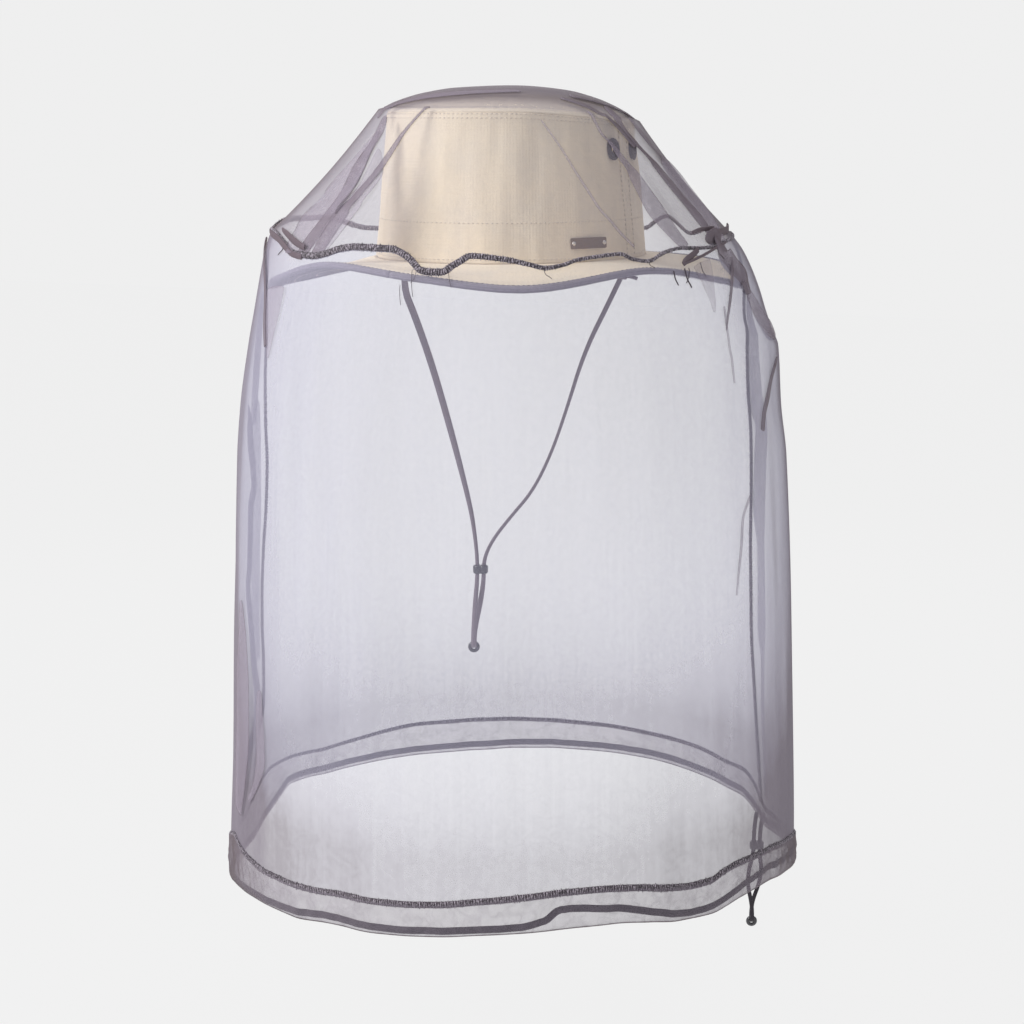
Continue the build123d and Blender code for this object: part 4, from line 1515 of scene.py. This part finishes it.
def fold_strip(bm, surface, cover, path):
    """A flattened pleat: two more layers of net lying on a surface along a path."""
    wall, lift, steps = 0.9, 0.7, 56
    layer = bm.verts.layers.float.get("Cover") or bm.verts.layers.float.new("Cover")
    old = set(bm.verts)
    count = len(path) - 1
    lines = [Line([(n / count, spot[k]) for n, spot in enumerate(path)]) for k in range(3)]
    shares = [n / steps for n in range(steps + 1)]
    points = [surface(lines[0](s), lines[1](s), lift + wall / 2) for s in shares]
    under = [surface(lines[0](s), lines[1](s), lift + wall / 2 - 2.0) for s in shares]
    frames = frames_along(points, lambda n: points[n] - under[n])
    width = [max(0.25, lines[2](s) * min(1, s / 0.07 + 0.1, (1 - s) / 0.03 + 0.3)) for s in shares]
    section = flat_section(
        lambda n: width[n] * MM, lambda n: min(wall, width[n]) * MM, 0.5
    )
    sweep(bm, frames, section, 12, path_length(points))
    for vert in bm.verts:
        if vert not in old:
            vert[layer] = cover


def fold_piece(name, surface, folds):
    """The folds that lie on one surface, as one piece."""
    bm = bmesh.new()
    for cover, path in folds:
        fold_strip(bm, surface, cover, path)
    piece = finish_mesh(name, bm, folded_net())
    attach(piece, "veil")
    return piece


def overlock(name, points, outward, width, node, closed=False):
    """An overlocked seam: net folded flat, with thread looped round it."""
    lines = spaced(points, 0.002)
    count = len(lines) - 1
    frames = frames_along(lines, lambda n: outward(lines[n]), closed)
    breadth = width if callable(width) else lambda share: width
    bm = bmesh.new()
    sweep(
        bm, frames, flat_section(lambda n: breadth(n / count) * MM, 0.0011, 0.5), 8,
        path_length(lines), closed,
    )
    ribbon = finish_mesh(name + "_net", bm, overlock_base())
    per_turn = 6
    loops = spaced(points, overlock_pitch * MM / per_turn)
    total = len(loops) - 1
    frames = frames_along(loops, lambda n: outward(loops[n]), closed)
    bm = bmesh.new()
    for spin, reach, seed in ((1, 0.50, 0), (-0.73, 0.42, 50)):
        thread = []
        for n, (point, across, out) in enumerate(frames):
            turn = 2 * pi * n / per_turn * spin
            wobble = 1 + 0.45 * ripple(n * 0.13, 3.7 + seed, 0)
            half = breadth(n / total) * reach * MM * wobble
            lift = 0.0008 + 0.0003 * ripple(n * 0.21, 8.1 + seed, 0)
            thread.append(point + across * half * cos(turn) + out * (lift * sin(turn)))
        sweep(bm, frames_along(thread), round_section(0.00032), 4, path_length(thread))
    loops_piece = finish_mesh(name + "_loops", bm, overlock_thread())
    for piece in (ribbon, loops_piece):
        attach(piece, "veil")
    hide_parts(node)
    return ribbon, loops_piece


class VEIL_OT_top_net(bpy.types.Operator):
    """Net over the crown, with its folds and its seam"""

    bl_idname = "veil.top_net"
    bl_label = "Top net"

    def execute(self, context):
        bm = bmesh.new()
        verts = lay_grid(bm, 240, 70, lambda u, v: top_point(-180 + 360 * u, v), (1.0, 0.22))
        weld(bm, verts, closed_ends=False)
        veil = settings().veil
        # the darker top yarn and bunch paint shade on the net over the crown; bunch also makes it
        # denser there
        piece = finish_mesh(
            "top_net", bm, net_finish("top_net", veil.top_colour, veil.top_cover, bunch=0.24)
        )
        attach(piece, "veil")
        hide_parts("veil_top")
        extras = [fold_piece("top_net_folds", top_point, top_folds)]
        angles = [-180 + 360 * n / 720 for n in range(721)]
        points = [net_point(angle, seam_height(angle), 0.3) for angle in angles]
        width = Line([
            (0, 3.2), (0.3, 4.2), (0.45, 4.4), (0.49, 3.4), (0.56, 2.2), (0.75, 2.1), (1, 3.2),
        ])
        extras += overlock("top_seam", points, outward_from_axis, width, "veil_top_seam", True)
        return {"FINISHED"}


class VEIL_OT_loose_threads(bpy.types.Operator):
    """Ends of thread that hang from the top seam"""

    bl_idname = "veil.loose_threads"
    bl_label = "Loose threads"

    def execute(self, context):
        bm = bmesh.new()
        for angle, top, length, sway, size in thread_ends:
            points = []
            for n in range(13):
                part = n / 12
                spot = net_point(angle + sway * part * part * 2, top - length * part, 0.9)
                points.append(spot + Vector((0, 0, 0.3 * MM * sin(9 * part))))
            sweep(
                bm, frames_along(points), round_section(size / 2 * MM), 6, path_length(points)
            )
        piece = finish_mesh("thread_tails", bm, overlock_base())
        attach(piece, "veil")
        return {"FINISHED"}


class VEIL_OT_hanging_net(bpy.types.Operator):
    """Front and back net, their folds and the side seams"""

    bl_idname = "veil.hanging_net"
    bl_label = "Hanging net"

    def execute(self, context):
        def strip(start, stop, u, v):
            """Point between two side seams; v runs from the hem up to the top seam."""
            high, low = 16.0, -400.0
            for _ in range(3):
                guess = low + (high - low) * v
                angle = start(guess) + (stop(guess) - start(guess)) * u
                high, low = seam_height(angle), hem_seam_height(angle)
            return net_point(angle, low + (high - low) * v)

        def right_as_left(height):
            return right_seam_angle(height) - 360

        for name, node, start, stop, across, width in (
            ("front_net", "veil_front", left_seam_angle, right_seam_angle, 280, 0.73),
            ("back_net", "veil_back", right_as_left, left_seam_angle, 200, 0.47),
        ):
            bm = bmesh.new()
            lay_grid(bm, across, 150, lambda u, v: strip(start, stop, u, v), (width, 0.40))
            piece = finish_mesh(name, bm, net())
            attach(piece, "veil")
            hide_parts(node)
        extras = [fold_piece("hanging_net_folds", net_point, body_folds)]
        for name, node, line in (
            ("left_seam", "veil_right_seam", left_seam_angle),
            ("right_seam", "veil_left_seam", right_seam_angle),
        ):
            foot = hem_seam_height(line(-400))
            top = seam_height(line(16))
            heights = [foot + (top - foot) * n / 120 for n in range(121)]
            points = [net_point(line(h), h, -0.8) for h in heights]
            extras += overlock(name, points, outward_from_axis, 3.2, node)
        return {"FINISHED"}


class VEIL_OT_hem(bpy.types.Operator):
    """Hem: its two layers of net, its overlocked seam and the drawcord tape inside"""

    bl_idname = "veil.hem"
    bl_label = "Hem"

    def execute(self, context):
        def crinkle(angle, down):
            turn = radians(angle)
            waves = ripple(26 * cos(turn), 26 * sin(turn), down * 3)
            waves += 0.35 * ripple(70 * cos(turn), 70 * sin(turn), down * 7)
            return waves * 1.2 * sin(pi * min(1, max(0, down)))

        def hem(u, v):
            """v runs down the outer layer, round the fold and up the inner one."""
            angle = -180 + 360 * u
            top, low = hem_seam_height(angle), hem_height(angle)
            down = 1 - abs(1 - 2 * v)
            side = 1 if v < 0.5 else -1
            out = side * hem_gap * min(1, sqrt(max(0, 1 - down)) * 2.4) + crinkle(angle, down)
            height = top + (low - top) * down
            return net_point(angle, height, out)

        bm = bmesh.new()
        verts = lay_grid(bm, 420, 28, hem, (1.22, 0.048))
        bmesh.ops.remove_doubles(bm, verts=verts, dist=2e-6)
        veil = settings().veil
        piece = finish_mesh("hem_net", bm, net_finish(
            "hem_net", veil.hem_colour, veil.hem_cover, lean=0.1, creased=0.25
        ))
        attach(piece, "veil")
        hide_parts("hem_band")

        angles = [-180 + 360 * n / 720 for n in range(721)]
        points = [net_point(angle, hem_seam_height(angle), 0.3) for angle in angles]
        width = Line([(0, 3.2), (0.22, 2.2), (0.27, 3.8), (0.7, 4.6), (0.76, 3.0), (1, 3.2)])
        extras = list(overlock("hem_seam", points, outward_from_axis, width, "hem_overlock", True))

        points = []
        for angle in angles:
            low, rise = hem_height(angle), tape_height(angle) + 2.0
            share = 1 - rise / (hem_seam_height(angle) - low)
            points.append(net_point(angle, low + rise, crinkle(angle, share)))
        lines = spaced(points, 0.0025)
        bm = bmesh.new()
        frames = frames_along(lines, lambda n: outward_from_axis(lines[n]), True)
        sweep(bm, frames, flat_section(tape_width * MM, 0.0009, 0.5), 8, path_length(lines), True)
        tape = finish_mesh("hem_tape", bm, dark_braid())
        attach(tape, "veil")
        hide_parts("hem_drawcord")
        return {"FINISHED"}


class VEIL_PT_panel(bpy.types.Panel):
    """The veil's sizes, colours and pieces"""

    bl_label = "Net veil and hat"
    bl_idname = "VEIL_PT_panel"
    bl_space_type = "VIEW_3D"
    bl_region_type = "UI"
    bl_category = "Veil"

    def draw(self, context):
        for group in (
            context.scene.veil_settings.hat, context.scene.veil_settings.veil,
            context.scene.veil_settings.stage,
        ):
            box = self.layout.box()
            for name in group.bl_rna.properties.keys():
                if name not in ("rna_type", "name"):
                    box.prop(group, name)
        for operator in operators:
            self.layout.operator(operator.bl_idname)


operators = (
    VEIL_OT_stage, VEIL_OT_chin_cord, VEIL_OT_drawcord, VEIL_OT_crown, VEIL_OT_brim,
    VEIL_OT_fittings, VEIL_OT_top_net, VEIL_OT_loose_threads, VEIL_OT_hanging_net, VEIL_OT_hem,
)
classes = (HatSettings, VeilSettings, StageSettings, SceneSettings) + operators + (VEIL_PT_panel,)


def register():
    for one in classes:
        bpy.utils.register_class(one)
    bpy.types.Scene.veil_settings = PointerProperty(type=SceneSettings)


def unregister():
    del bpy.types.Scene.veil_settings
    for one in reversed(classes):
        bpy.utils.unregister_class(one)


def main():
    register()
    for operator in operators:
        group, name = operator.bl_idname.split(".")
        getattr(getattr(bpy.ops, group), name)()


if __name__ == "__main__":
    main()
